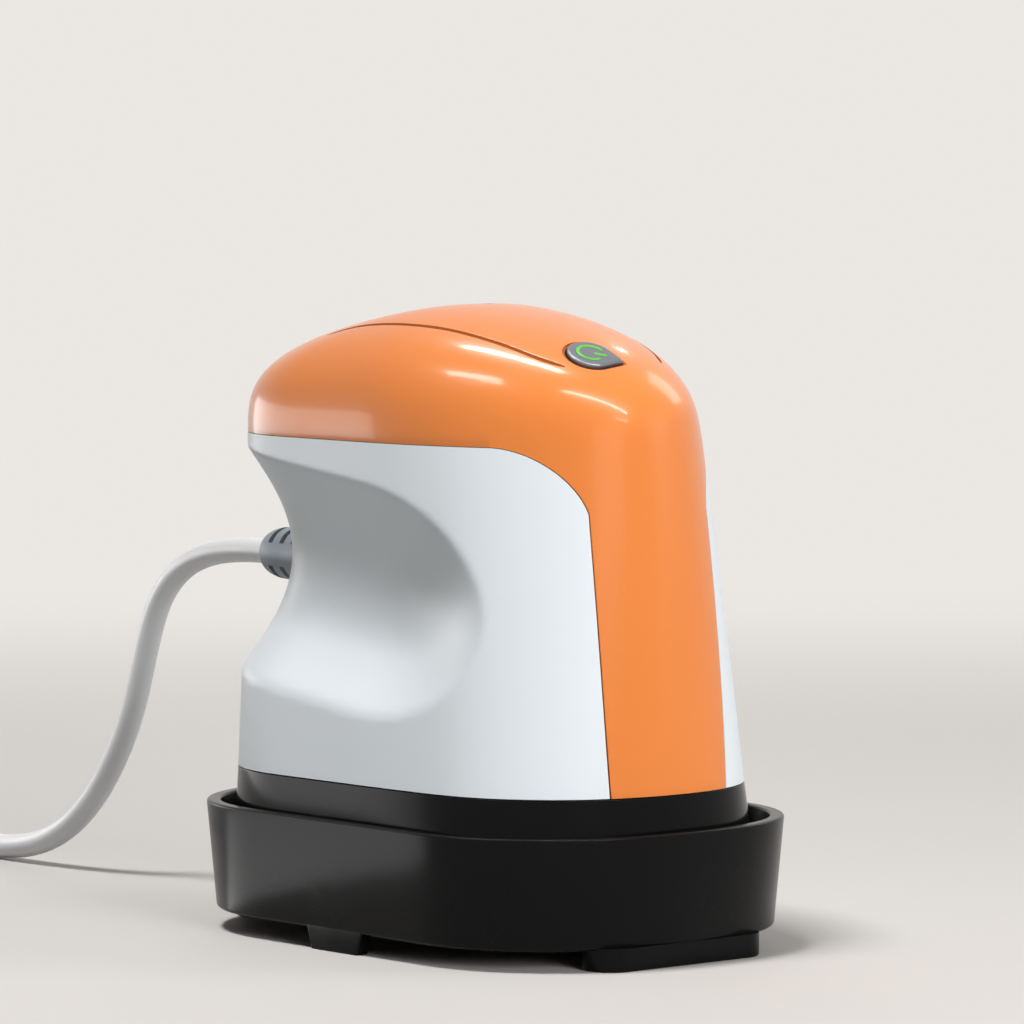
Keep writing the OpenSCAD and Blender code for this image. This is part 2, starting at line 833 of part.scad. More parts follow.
sensor_xy = [-9, 14];
fuse_xy = [9, -14];
sensor_z = clamp_top + 0.05;
module thermistor() {
    color([0.75, 0.35, 0.15])
        translate([sensor_xy.x, sensor_xy.y, sensor_z + 1.6]) {
            rotate([0, 90, 0]) cylinder(h = 8, r = 1.6, center = true, $fn = 32);
            translate([-1, -1, -1.6]) cube([2, 2, 1]);
        }
}

module thermal_fuse() {
    color(silver)
        translate([fuse_xy.x, fuse_xy.y, sensor_z + 2]) {
            rotate([0, 90, 0]) cylinder(h = 11, r = 2, center = true, $fn = 32);
            translate([-1, -1, -2]) cube([2, 2, 1]);
        }
}

// ---- Strain relief and clamp ----

gland_bore_r = lead_d / 2 + 0.05;
gland_tip_r = gland_bore_r + 0.3;
gland_dome_l = 7;
slot_w = 1.5;
slot_pitch = 4;
slot_n = 5;
module cord_gland() {
    dome_y = gland_end_y - gland_dome_l;
    color(grey)
        translate([0, 0, press_z + lead_z]) rotate([-90, 0, 0]) difference() {
            rotate_extrude($fn = 48)
                polygon(concat(
                    [[gland_bore_r, gland_seat_in - gland_flange_t],
                        [gland_flange_r, gland_seat_in - gland_flange_t],
                        [gland_flange_r, gland_seat_in - sheet_gap],
                        [gland_neck_r, gland_seat_in - sheet_gap],
                        [gland_neck_r, gland_seat_out + sheet_gap],
                        [gland_r, gland_seat_out + sheet_gap]],
                    [for (a = [0:15:90]) [gland_tip_r + (gland_r - gland_tip_r) * cos(a),
                        dome_y + gland_dome_l * sin(a)]],
                    [[gland_bore_r, gland_end_y]]));
            for (i = [0:slot_n - 1], s = [-1, 1])
                translate([0, s * (lead_r + 1 + gland_r), gland_end_y - 5.7 - i * slot_pitch])
                    cube([30, 2 * gland_r, slot_w], center = true);
        }
}

module cord_clamp() {
    color(dark)
        translate([0, clamp_y, press_z + lead_z]) difference() {
            union() {
                translate([-10.5, -3.5, -0.9]) cube([21, 7, 2.6]);
                rotate([90, 0, 0]) cylinder(h = 7, r = lead_d / 2 + 2, center = true, $fn = 48);
            }
            translate([-20, -10, -20.9]) cube([40, 20, 20]);
            rotate([90, 0, 0]) cylinder(h = 12, r = lead_d / 2 + 0.05, center = true, $fn = 48);
            for (x = [-1, 1])
                translate([x * clamp_screw_x, 0, -5])
                    cylinder(h = 12, r = small_screw_r + screw_clear, $fn = 24);
        }
}

module cord_clamp_screws() {
    color(steel)
        for (x = [-1, 1])
            translate([x * clamp_screw_x, clamp_y, press_z + lead_z + 1.72]) screw(9, small_screw_r);
}

// Thin lead through points
module wire(points, r) tube(points, r, 6);

// The mains lead's inner end, and its two cores on the way to the terminal
tail_y = clamp_y - 8;
join_y = gland_end_y - 1;
terminal_y = board_back + part_gap + 8.1;
module mains_leads() {
    exit_z = press_z + lead_z;
    color([0.93, 0.93, 0.93])
        translate([0, tail_y, exit_z]) rotate([-90, 0, 0])
            cylinder(h = join_y - tail_y, r = lead_r, $fn = 32);
    for (s = [0, 1])
        color(s == 0 ? [0.45, 0.25, 0.12] : [0.15, 0.3, 0.7])
            wire([[s * 2.4 - 1.2, tail_y + 1, exit_z], [s * 2.4 - 1.2, tail_y - 3, exit_z],
                [s * 4, 20, exit_z - 2], [4.5 + s * 6, 9, exit_z - 10], [7.75 + s * 7.5, 0, exit_z - 20],
                [7.75 + s * 7.5, -7, board_low + 15.5],
                [7.75 + s * 7.5, terminal_y - 1.5, board_low + 14]], 0.9);
}

module heater_leads() {
    color([0.75, 0.15, 0.12])
        for (s = [-1, 1])
            wire([[s * 6, 0, clamp_top + 0.95], [s * 6, -5, clamp_top + 0.95],
                [s * 5 - 1, -10, clamp_top + 3],
                [s * 4 - 4, -15, ledge_top + 1], [s * 3.5 - 6, -19, board_low + 3],
                [s * 3 - 7, board_back + 2.2, board_low + 8]], 0.9);
}

module sensor_leads() {
    color([0.95, 0.85, 0.3])
        for (s = [0, 1])
            wire([[sensor_xy.x - 4.7 - s * 2, sensor_xy.y, sensor_z + 1.6],
                [sensor_xy.x - 6 - s * 2, 8, sensor_z + 1.8], [sensor_xy.x - 7 - s * 2, 2, sensor_z + 5],
                [-16 - s * 2, -5, ledge_top + 3],
                [-16 - s * 2, -14, board_low + 1], [-16 - s * 2, board_back + 0.7, board_low + 6]], 0.6);
}

module button_leads() {
    color([0.3, 0.3, 0.32])
        for (s = [-1, 1])
            wire([[button_at.x + s * 1.5, button_at.y + 11, button_at.z - 9.5],
                [s * 2 - 4, -23, button_at.z - 14], [s * 2 - 3, -20.5, board_low + board_h + 4],
                [s * 2 - 2, -20.5, board_low + board_h - 2],
                [s * 2 - 2, board_back + 0.7, board_low + board_h - 7]], 0.6);
}

// ---- Mains lead outside: free stretch, coil, tie and plug ----

tie_t = 0.8;
coil_z = lead_r + tie_t + 0.1;
coil_pitch = lead_d + coil_gap;
coil_mid = [-42, 232];
coil_total = 2 * coil_turns;

// Route of the free stretch from the strain relief to the coil
coil_start = [coil_mid.x + coil_r, coil_mid.y, coil_z];
lead_route = [
    [0, join_y, press_z + lead_z], [0, join_y + lead_d + 1, press_z + lead_z], [0, 89, 77.3], [0, 97, 76.2],
    [0, 104.8, 73.8], [0, 110.5, 70.6], [0, 115, 66.4], [0, 118.2, 61.4], [0, 120.6, 55.6], [0, 123.5, 47],
    [0, 127.4, 37], [0, 133, 27.5], [0, 140.8, 18], [0, 150.6, 10.2], [0, 162, 5.2], [0, 174, 3.1],
    [0, 187, 2.9], [-0.3, 200, 2.9], [-0.8, 213, 3.3], coil_start - [0, lead_d, 0]];

// Square frame across a path at point i: two directions at right angles to the path
function path_dir(p, i) =
    i == 0 ? unit(p[1] - p[0]) :
    i == len(p) - 1 ? unit(p[i] - p[i - 1]) :
    unit(unit(p[i + 1] - p[i]) + unit(p[i] - p[i - 1]));

function tube_ring(c, dir, r, sides, turn = 0) =
    let (flat = unit([dir.y, -dir.x, 0]), up = cross(flat, dir))
    [for (k = [0:sides - 1]) let (a = turn + 360 * k / sides) c + r * (cos(a) * flat + sin(a) * up)];

// Tube along a path
module tube(path, r, sides, turn = 0) {
    m = len(path);
    rings = [for (i = [0:m - 1]) tube_ring(path[i], path_dir(path, i), r, sides, turn)];
    polyhedron(
        points = [for (q = rings) each q],
        faces = concat(loft_faces(m, sides),
            [[for (i = [sides - 1:-1:0]) i]],
            [[for (i = [0:sides - 1]) (m - 1) * sides + i]]),
        convexity = 10);
}

module cord() color([0.93, 0.93, 0.93]) tube(lead_route, lead_r, 12);

// Path of the coil: in on the lower layer, up where the spiral turns back, out on the upper one
rings_per_turn = 24;
function coil_radius(t) = coil_r - coil_pitch * min(t, coil_total - t);
function coil_height(t) =
    let (u = min(1, max(0, (t - coil_turns + 0.25) / 0.5)))
    coil_z + coil_pitch * (3 - 2 * u) * u * u;
function coil_point(t) =
    [coil_mid.x + coil_radius(t) * cos(360 * t), coil_mid.y + coil_radius(t) * sin(360 * t), coil_height(t)];

// Last stretch: down beside the coil, a little inwards, and straight into the plug
plug_at = coil_mid + [4.5 - coil_r, -44];
plug_z = plug_t / 2;
coil_end = [coil_mid.x - coil_r, coil_mid.y, coil_z + coil_pitch];
last_bend = [plug_at.x, plug_at.y + lead_d, plug_z] - coil_end;
coil_path = concat(
    [coil_start - [0, lead_d, 0]],
    [for (i = [0:coil_total * rings_per_turn]) coil_point(i / rings_per_turn)],
    [for (u = [1 / 6:1 / 6:1.01]) let (s = (3 - 2 * u) * u * u)
        coil_end + [last_bend.x * s, last_bend.y * u, last_bend.z * s]],
    [[plug_at.x, plug_at.y, plug_z]]);

module cord_coil() color([0.93, 0.93, 0.93]) tube(coil_path, lead_r, 6, 30);

// Least distance between points of the coil's path that aren't neighbours, less the lead's diameter
probe_step = rings_per_turn / 3;
coil_least = min([for (i = [0:len(coil_path) - 1], j = [i + probe_step:1:len(coil_path) - 1])
    norm(coil_path[i] - coil_path[j])]) - lead_d;
echo(coil_least_gap = coil_least);

// Strap round the bundle at one place
tie_turn = 60;
tie_w = 6;
module cord_tie() {
    in_r = coil_r - coil_pitch * coil_turns - lead_r - 1;
    out_r = coil_r + lead_r + 0.4;
    top = coil_z + coil_pitch + lead_r + 0.2;
    color([0.93, 0.93, 0.93])
        translate([coil_mid.x, coil_mid.y, 0]) rotate(tie_turn) difference() {
            translate([in_r - tie_t, -tie_w / 2, 0]) cube([out_r - in_r + 2 * tie_t, tie_w, top + tie_t]);
            translate([in_r, -tie_w, tie_t]) cube([out_r - in_r, 2 * tie_w, top - tie_t]);
        }
}

plug_l = 24;
relief_l = 11;
module plug_body() {
    w = plug_w / 2;
    h = plug_t / 2;
    color([0.93, 0.93, 0.93])
        translate([plug_at.x, plug_at.y, plug_z]) rotate([90, 0, 0]) {
            rotate_extrude($fn = 32)
                polygon([[0, 0.02], [lead_r + 0.9, 0.02], [lead_r + 2, relief_l], [0, relief_l]]);
            hull() {
                translate([0, 0, relief_l]) linear_extrude(0.1) offset(1) square([12, 8], center = true);
                translate([0, 0, relief_l + 9]) linear_extrude(plug_l - 9)
                    polygon([[-w, 0], [-w + 4, h], [w - 4, h], [w, 0], [w - 4, -h], [-w + 4, -h]]);
            }
        }
}

module plug_pins() {
    face = relief_l + plug_l + 0.02;
    color(steel)
        translate([plug_at.x, plug_at.y, plug_z]) rotate([90, 0, 0])
            for (s = [-1, 1])
                translate([s * pin_pitch / 2, 0, face]) {
                    cylinder(h = pin_l - pin_r, r = pin_r, $fn = 32);
                    translate([0, 0, pin_l - pin_r]) sphere(pin_r, $fn = 32);
                }
}

base_tray();
tray_pads();
heating_plate();
heating_element();
insulation_felt();
clamp_plate();
plate_screws();
skirt();
skirt_screws();
heat_shield();
housing();
housing_screws();
top_cover();
power_button();
button_light();
button_board();
tact_switch();
button_board_screws();
control_board();
board_transformer();
board_capacitor();
board_triac();
board_terminal();
thermistor();
thermal_fuse();
cord_gland();
cord_clamp();
cord_clamp_screws();
mains_leads();
heater_leads();
sensor_leads();
button_leads();
cord();
cord_coil();
cord_tie();
plug_body();
plug_pins();
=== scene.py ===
import json
import logging
import math
from dataclasses import dataclass, replace
from enum import Enum

import bpy
import numpy as np
from mathutils import Matrix, Vector


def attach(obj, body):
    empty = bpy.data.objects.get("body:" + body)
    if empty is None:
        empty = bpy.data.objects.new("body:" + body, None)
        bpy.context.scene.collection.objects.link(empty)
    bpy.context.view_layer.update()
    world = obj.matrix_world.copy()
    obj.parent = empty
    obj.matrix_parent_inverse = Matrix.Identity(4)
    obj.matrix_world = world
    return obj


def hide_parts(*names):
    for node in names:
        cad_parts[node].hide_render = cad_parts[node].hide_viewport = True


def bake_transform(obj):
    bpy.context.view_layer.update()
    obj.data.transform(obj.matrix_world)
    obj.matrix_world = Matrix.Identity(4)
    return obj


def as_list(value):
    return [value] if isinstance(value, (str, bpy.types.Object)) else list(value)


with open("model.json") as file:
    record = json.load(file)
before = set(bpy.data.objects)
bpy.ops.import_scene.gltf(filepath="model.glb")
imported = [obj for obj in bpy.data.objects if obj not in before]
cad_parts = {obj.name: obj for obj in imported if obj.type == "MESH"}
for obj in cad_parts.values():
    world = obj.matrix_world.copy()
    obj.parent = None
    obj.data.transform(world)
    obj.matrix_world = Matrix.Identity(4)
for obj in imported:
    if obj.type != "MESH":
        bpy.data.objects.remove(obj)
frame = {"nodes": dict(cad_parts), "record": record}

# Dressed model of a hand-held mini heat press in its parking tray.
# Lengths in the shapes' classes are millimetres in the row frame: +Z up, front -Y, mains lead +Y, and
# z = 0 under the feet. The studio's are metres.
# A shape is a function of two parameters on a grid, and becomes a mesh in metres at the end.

MM = 0.001
ON_AXIS = 1e-6
LOG = logging.getLogger("mini_heat_press")
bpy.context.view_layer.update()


class Body(Enum):
    """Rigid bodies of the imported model."""

    BASE = "base"
    PRESS = "press"
    BUTTON = "button"


# ---------------------------------------------------------------- meshes


@dataclass
class Surface:
    """Points in millimetres and the faces over them."""

    points: np.ndarray
    faces: list[list[int]]

    def placed(self, matrix: np.ndarray, origin: tuple[float, float, float]) -> "Surface":
        """Return the surface turned by a matrix about zero and then moved to an origin."""
        return Surface(self.points @ matrix.T + np.array(origin), self.faces)


def merged(surfaces: list[Surface]) -> Surface:
    """Return several surfaces as one, with their points in the given order."""
    faces, shift = [], 0
    for surface in surfaces:
        faces += [[corner + shift for corner in face] for face in surface.faces]
        shift += len(surface.points)
    return Surface(np.vstack([surface.points for surface in surfaces]), faces)


def spread_out(x: np.ndarray | float, y: np.ndarray | float, z: np.ndarray | float) -> np.ndarray:
    """Return points (..., 3) of three coordinates that are spread over each other's shapes."""
    return np.stack(np.broadcast_arrays(x, y, z), axis=-1)


def full_turn(count: int) -> np.ndarray:
    """Return evenly spaced angles once round."""
    return np.linspace(0, 2 * math.pi, count, endpoint=False)


def eased(share: np.ndarray) -> np.ndarray:
    """Return a share from 0 to 1 that starts and ends level."""
    return share * share * (3 - 2 * share)


def turned(axis: int, angle: float) -> np.ndarray:
    """Return the matrix of a turn about one axis, 0 for X to 2 for Z."""
    first, second = (axis + 1) % 3, (axis + 2) % 3
    matrix = np.eye(3)
    matrix[[first, second], [first, second]] = math.cos(angle)
    matrix[first, second], matrix[second, first] = -math.sin(angle), math.sin(angle)
    return matrix


def rolled_edge(radius: float) -> list[tuple[float, float]]:
    """Return inset and depth of each row of a quarter-round edge, from the flat face to the side."""
    angles = np.radians(np.linspace(0, 90, 5))
    return [(radius * (1 - math.sin(angle)), radius * (1 - math.cos(angle))) for angle in angles]


def grid_faces(rows: int, cols: int, wrap_rows: bool = False, wrap_cols: bool = False) -> np.ndarray:
    """Number the four corners of every cell of a grid of points.

    Args:
        rows: Rows of points.
        cols: Points in each row.
        wrap_rows: Whether the last row joins the first one.
        wrap_cols: Whether the last point of a row joins its first one.

    Returns:
        One row of four point numbers for each cell.
    """
    row = np.arange(rows if wrap_rows else rows - 1)[:, None]
    col = np.arange(cols if wrap_cols else cols - 1)[None, :]
    above, right = (row + 1) % rows, (col + 1) % cols
    corners = [row * cols + col, row * cols + right, above * cols + right, above * cols + col]
    return np.stack([np.broadcast_to(c, (row.size, col.size)).ravel() for c in corners], axis=1)


def grid_surface(points: np.ndarray, wrap_rows: bool = False, wrap_cols: bool = False) -> Surface:
    """Make a surface of a grid of points (rows, cols, 3)."""
    rows, cols = points.shape[:2]
    return Surface(points.reshape(-1, 3), grid_faces(rows, cols, wrap_rows, wrap_cols).tolist())


def capped(points: np.ndarray, first: np.ndarray | None, last: np.ndarray | None) -> Surface:
    """Make a surface of closed rows of points, and close its ends with fans.

    Args:
        points: Grid (rows, cols, 3) whose rows are closed loops.
        first: Point that closes the first row, or None where it stays open.
        last: Point that closes the last row, or None where it stays open.

    Returns:
        The surface with its fans.
    """
    surface = grid_surface(points, wrap_cols=True)
    rows, cols = points.shape[:2]
    ring = np.arange(cols)
    following = (ring + 1) % cols
    for point, row, flip in ((first, 0, True), (last, rows - 1, False)):
        if point is None:
            continue
        tip = np.full(cols, len(surface.points))
        edge = np.stack([ring + row * cols, following + row * cols, tip], axis=1)
        surface.points = np.vstack([surface.points, point])
        surface.faces += (edge[:, ::-1] if flip else edge).tolist()
    return surface


def filleted(corners: list[tuple[float, float, float]], closed: bool = False, steps: int = 5) -> np.ndarray:
    """Round the corners of a flat line.

    Args:
        corners: Each corner's two coordinates and its radius.
        closed: Whether the line joins up.
        steps: Points on each rounded corner, less one.

    Returns:
        Points of the line; a corner of radius r is an arc tangent to its two sides.
    """
    places = np.array([corner[:2] for corner in corners], float)
    line = []
    for i, (x, y, radius) in enumerate(corners):
        here = np.array([x, y])
        if radius <= 0 or (not closed and i in (0, len(corners) - 1)):
            line.append(here[None])
            continue
        to_last = places[i - 1] - here
        to_next = places[(i + 1) % len(places)] - here
        to_last /= np.linalg.norm(to_last)
        to_next /= np.linalg.norm(to_next)
        half = math.acos(float(np.clip(to_last @ to_next, -1, 1))) / 2
        middle = (to_last + to_next) / np.linalg.norm(to_last + to_next)
        centre = here + middle * radius / math.sin(half)
        start = here + to_last * radius / math.tan(half) - centre
        end = here + to_next * radius / math.tan(half) - centre
        share = np.linspace(0, 1, steps + 1)[:, None]
        whole = math.pi - 2 * half
        arc = (start * np.sin((1 - share) * whole) + end * np.sin(share * whole)) / math.sin(whole)
        line.append(centre + arc)
    return np.vstack(line)


def shelled(outer: Surface, inner: np.ndarray) -> Surface:
    """Close an open surface into a wall.

    The inner side has the same faces turned round, and a strip joins the two sides along the open edges.

    Args:
        outer: Open surface whose faces point outwards.
        inner: One point inside for each of its points.

    Returns:
        The closed wall.
    """
    shift = len(outer.points)
    starts = np.concatenate([np.array(face) for face in outer.faces])
    ends = np.concatenate([np.roll(face, -1) for face in outer.faces])
    code, back = starts * shift + ends, ends * shift + starts
    rim = ~np.isin(code, back)
    a, b = starts[rim], ends[rim]
    strip = np.stack([b, a, a + shift, b + shift], axis=1)
    inside = [[corner + shift for corner in reversed(face)] for face in outer.faces]
    return Surface(np.vstack([outer.points, inner]), outer.faces + inside + strip.tolist())


def revolved(profile: np.ndarray, sides: int = 64) -> Surface:
    """Turn a profile of radius and height about Z; a radius of zero at an end closes it."""
    turn = full_turn(sides)
    closed_low, closed_high = profile[0, 0] < ON_AXIS, profile[-1, 0] < ON_AXIS
    rings = profile[int(closed_low): len(profile) - int(closed_high)]
    points = spread_out(rings[:, :1] * np.cos(turn), rings[:, :1] * np.sin(turn), rings[:, 1:])
    low = np.array([0, 0, profile[0, 1]]) if closed_low else None
    high = np.array([0, 0, profile[-1, 1]]) if closed_high else None
    return capped(points, low, high)


def path_frames(path: np.ndarray) -> tuple[np.ndarray, np.ndarray]:
    """Find two directions across a path at each point, one of them level.

    Args:
        path: Points (n, 3) of a path that is nowhere upright.

    Returns:
        The level direction and the one square to it and to the path.
    """
    along = np.gradient(path, axis=0)
    along /= np.linalg.norm(along, axis=1, keepdims=True)
    level = np.stack([along[:, 1], -along[:, 0], np.zeros(len(path))], axis=1)
    level /= np.linalg.norm(level, axis=1, keepdims=True)
    return level, np.cross(level, along)


def tube(path: np.ndarray, wide: np.ndarray, high: np.ndarray, sides: int) -> Surface:
    """Carry an ellipse along a path and close its ends.

    Args:
        path: Points (n, 3) of the middle line.
        wide: Half width at each point, along the level direction.
        high: Half height at each point.
        sides: Points round the ellipse.

    Returns:
        The closed tube.
    """
    level, up = path_frames(path)
    turn = full_turn(sides)[None, :, None]
    ring = (wide[:, None, None] * np.cos(turn) * level[:, None]
            - high[:, None, None] * np.sin(turn) * up[:, None])
    return capped(path[:, None] + ring, path[0], path[-1])


def smooth_path(points: np.ndarray, step: float, passes: int = 6) -> np.ndarray:
    """Draw a smooth line through points at even steps.

    The line is a chord-length Catmull-Rom curve, cut at even steps and evened by short averages that keep
    its ends.

    Args:
        points: Points (n, 3) that the line follows.
        step: Distance between points of the result.
        passes: Number of averages.

    Returns:
        Points of the line.
    """
    gap = np.linalg.norm(np.diff(points, axis=0), axis=1)
    place = np.concatenate([[0], np.cumsum(gap)])
    slope = np.gradient(points, place, axis=0)
    count = int(round(place[-1] / step)) + 1
    at = np.linspace(0, place[-1], count)
    leg = np.clip(np.searchsorted(place, at, side="right") - 1, 0, len(gap) - 1)
    share = ((at - place[leg]) / gap[leg])[:, None]
    width = gap[leg][:, None]
    line = ((2 * share**3 - 3 * share**2 + 1) * points[leg] + (3 * share**2 - 2 * share**3) * points[leg + 1]
            + (share**3 - 2 * share**2 + share) * width * slope[leg]
            + (share**3 - share**2) * width * slope[leg + 1])
    for _ in range(passes):
        line[2:-2] = 0.25 * line[1:-3] + 0.5 * line[2:-2] + 0.25 * line[3:-1]
    return line


# ---------------------------------------------------------------- finishes


NewNodes = dict[str, tuple[str, dict]]


def wired(tree: bpy.types.NodeTree, made: NewNodes, links: tuple[str, ...]) -> None:
    """Add shader nodes to a tree and link them.

    Args:
        tree: The tree, whose own nodes may be linked too.
        made: Kind of each new node, its settings in small letters, and its inputs' values under their labels.
        links: Links such as "tone.Fac>Out.Tone", each from an output to an input by label or by number.
    """
    for name, (kind, settings) in made.items():
        node = tree.nodes.new("ShaderNode" + kind)
        node.name = name
        for key, value in settings.items():
            if isinstance(key, str) and key.islower():
                setattr(node, key, value)
            else:
                node.inputs[key].default_value = value
    for link in links:
        (source, out), (target, into) = (end.split(".") for end in link.split(">"))
        socket = tree.nodes[target].inputs[int(into) if into.isdigit() else into]
        tree.links.new(tree.nodes[source].outputs[out], socket)


def skin_group(name: str, made: NewNodes, links: tuple[str, ...]) -> bpy.types.NodeTree:
    """Make the shader node group of one kind of surface detail.

    Args:
        name: Name of the group.
        made: Its nodes besides the tone's noise.
        links: Its links besides the tone's.

    Returns:
        The group, with outputs Tone and Marks from 0 to 1, and Height for a bump.
    """
    group = bpy.data.node_groups.new(name, "ShaderNodeTree")
    sockets = (("Vector", "INPUT", "Vector"), ("Grain", "INPUT", "Float"), ("Tone Size", "INPUT", "Float"),
               ("Tone", "OUTPUT", "Float"), ("Marks", "OUTPUT", "Float"), ("Height", "OUTPUT", "Float"))
    for label, way, kind in sockets:
        group.interface.new_socket(label, in_out=way, socket_type="NodeSocket" + kind)
    group.nodes.new("NodeGroupInput").name = "In"
    group.nodes.new("NodeGroupOutput").name = "Out"
    wired(group, {"tone": ("TexNoise", {"Detail": 2.0})} | made,
          ("In.Vector>tone.Vector", "In.Tone Size>tone.Scale", "tone.Fac>Out.Tone") + links)
    return group


class Skin(Enum):
    """Kind of surface detail, one node group each."""

    MOULDED = "moulded_skin"
    BRUSHED = "brushed_lines"
    WOVEN = "woven_fibre"


GROUPS = {
    # Moulded plastic: fine grain, and faint handling marks.
    Skin.MOULDED: skin_group(Skin.MOULDED.value, {
        "grain": ("TexNoise", {"Detail": 3.0}),
        "marks": ("TexNoise", {"Scale": 60.0, "Detail": 5.0, "Distortion": 0.6}),
        "spread": ("MapRange", {"From Min": 0.52, "From Max": 0.74})}, (
        "In.Vector>grain.Vector", "In.Vector>marks.Vector", "In.Grain>grain.Scale", "marks.Fac>spread.Value",
        "spread.Result>Out.Marks", "grain.Fac>Out.Height")),
    # Brushed metal: fine lines drawn out along one direction.
    Skin.BRUSHED: skin_group(Skin.BRUSHED.value, {
        "drawn": ("VectorMath", {"operation": "MULTIPLY", 1: (1.0, 0.06, 0.06)}),
        "lines": ("TexNoise", {"Detail": 4.0})}, (
        "In.Vector>drawn.0", "drawn.Vector>lines.Vector", "In.Grain>lines.Scale", "lines.Fac>Out.Marks",
        "lines.Fac>Out.Height")),
    # Woven fibre: two crossed waves.
    Skin.WOVEN: skin_group(Skin.WOVEN.value, {
        "warp": ("TexWave", {"bands_direction": "X", "Distortion": 1.0}),
        "weft": ("TexWave", {"bands_direction": "Y", "Distortion": 1.0}),
        "crossed": ("Math", {"operation": "MAXIMUM"})}, (
        "In.Vector>warp.Vector", "In.Vector>weft.Vector", "In.Grain>warp.Scale", "In.Grain>weft.Scale",
        "warp.Fac>crossed.0", "weft.Fac>crossed.1", "crossed.Value>Out.Marks", "crossed.Value>Out.Height"))}


@dataclass(frozen=True)
class Finish:
    """One finish: its colours, its gloss and its surface detail."""

    name: str
    dark: tuple[float, float, float]
    light: tuple[float, float, float]
    rough: tuple[float, float]
    skin: Skin = Skin.MOULDED
    metallic: float = 0.0
    coat: float = 0.0
    coat_rough: float = 0.05
    specular: float = 0.5
    sheen: float = 0.0
    glow: float = 0.0
    grain: float = 900.0
    grain_depth: float = 0.00002
    bump_strength: float = 0.6
    tone_size: float = 14.0

    def material(self) -> bpy.types.Material:
        """Return the material, made once, under a name that the frame's own materials don't have.

        Returns:
            A Principled material fed by its skin's node group.
        """
        title = "finish_" + self.name
        known = bpy.data.materials.get(title)
        if known:
            return known
        made = bpy.data.materials.new(title)
        made.use_nodes = True
        wired(made.node_tree, {
            "place": ("TexCoord", {}),
            "skin": ("Group", {"node_tree": GROUPS[self.skin], "Grain": self.grain,
                               "Tone Size": self.tone_size}),
            "colour": ("Mix", {"data_type": "RGBA", "A": (*self.dark, 1.0), "B": (*self.light, 1.0)}),
            "gloss": ("MapRange", {"To Min": self.rough[0], "To Max": self.rough[1]}),
            "bump": ("Bump", {"Distance": self.grain_depth, "Strength": self.bump_strength})}, (
            "place.Object>skin.Vector", "skin.Tone>colour.Factor", "colour.Result>Principled BSDF.Base Color",
            "skin.Marks>gloss.Value", "gloss.Result>Principled BSDF.Roughness", "skin.Height>bump.Height",
            "bump.Normal>Principled BSDF.Normal"))
        plain = {"Metallic": self.metallic, "Coat Weight": self.coat, "Coat Roughness": self.coat_rough,
                 "Specular IOR Level": self.specular, "Sheen Weight": self.sheen}
        if self.glow:
            plain |= {"Emission Color": (*self.light, 1.0), "Emission Strength": self.glow}
        for label, value in plain.items():
            made.node_tree.nodes["Principled BSDF"].inputs[label].default_value = value
        return made


ORANGE = Finish("gloss_orange", (0.77, 0.210, 0.034), (0.81, 0.236, 0.043), (0.28, 0.36), coat=0.4,
                coat_rough=0.10, specular=0.3, grain=500.0, grain_depth=0.000004)
# Darker orange for the faces cut by the grooves and the button's recess: painted shade inside the grooves and
# the recess.
GROOVE_PAINTED_SHADE = Finish("painted_groove_shade", (0.36, 0.092, 0.016), (0.44, 0.115, 0.022), (0.45, 0.60), specular=0.2)
SHELL_WHITE = Finish("shell_white", (0.76, 0.81, 0.85), (0.80, 0.85, 0.88), (0.34, 0.42), specular=0.2,
                     grain=1400.0, grain_depth=0.00001)
PIANO_BLACK = Finish("piano_black", (0.0026, 0.0026, 0.0028), (0.0038, 0.0038, 0.0040), (0.14, 0.20),
                     specular=0.10, grain=500.0, grain_depth=0.000003)
TRAY_BLACK = Finish("tray_black", (0.0030, 0.0030, 0.0032), (0.0044, 0.0044, 0.0046), (0.24, 0.31),
                    specular=0.11, grain=1500.0, grain_depth=0.000008)
PLATE_COAT = Finish("plate_coat", (0.020, 0.020, 0.021), (0.032, 0.032, 0.033), (0.28, 0.38), metallic=0.45,
                    specular=0.3, grain=1800.0, grain_depth=0.00002)
BUTTON_SILVER = Finish("button_silver", (0.20, 0.22, 0.25), (0.28, 0.30, 0.34), (0.24, 0.34), Skin.BRUSHED,
                       metallic=0.9, grain=1500.0, grain_depth=0.000006)
LIGHT_GREEN = Finish("light_green", (0.06, 0.42, 0.015), (0.09, 0.50, 0.02), (0.30, 0.34), glow=0.12)
GLAND_GREY = Finish("gland_grey", (0.20, 0.23, 0.26), (0.26, 0.29, 0.33), (0.42, 0.52), grain=1500.0,
                    grain_depth=0.00002)
CORD_WHITE = Finish("cord_white", (0.80, 0.80, 0.81), (0.84, 0.84, 0.85), (0.34, 0.44), sheen=0.1,
                    grain=1200.0, grain_depth=0.00001, tone_size=60.0)
PAD_GREY = Finish("pad_grey", (0.055, 0.055, 0.060), (0.080, 0.080, 0.086), (0.62, 0.74), grain=1600.0)
NICKEL = Finish("nickel", (0.62, 0.61, 0.58), (0.70, 0.69, 0.66), (0.16, 0.26), Skin.BRUSHED, metallic=1.0,
                grain_depth=0.000004)
STEEL = Finish("plain_steel", (0.50, 0.51, 0.53), (0.60, 0.61, 0.63), (0.28, 0.42), Skin.BRUSHED,
               metallic=1.0)
FELT = Finish("mineral_felt", (0.66, 0.62, 0.52), (0.80, 0.77, 0.68), (0.85, 0.95), Skin.WOVEN, grain=420.0,
              grain_depth=0.00015)
BOARD = Finish("board_green", (0.018, 0.16, 0.055), (0.030, 0.22, 0.080), (0.25, 0.40), coat=0.3)
TRANSFORMER = Finish("wound_tape", (0.62, 0.47, 0.06), (0.72, 0.56, 0.10), (0.35, 0.50))
CAPACITOR = Finish("capacitor_sleeve", (0.02, 0.03, 0.12), (0.03, 0.045, 0.17), (0.25, 0.35))
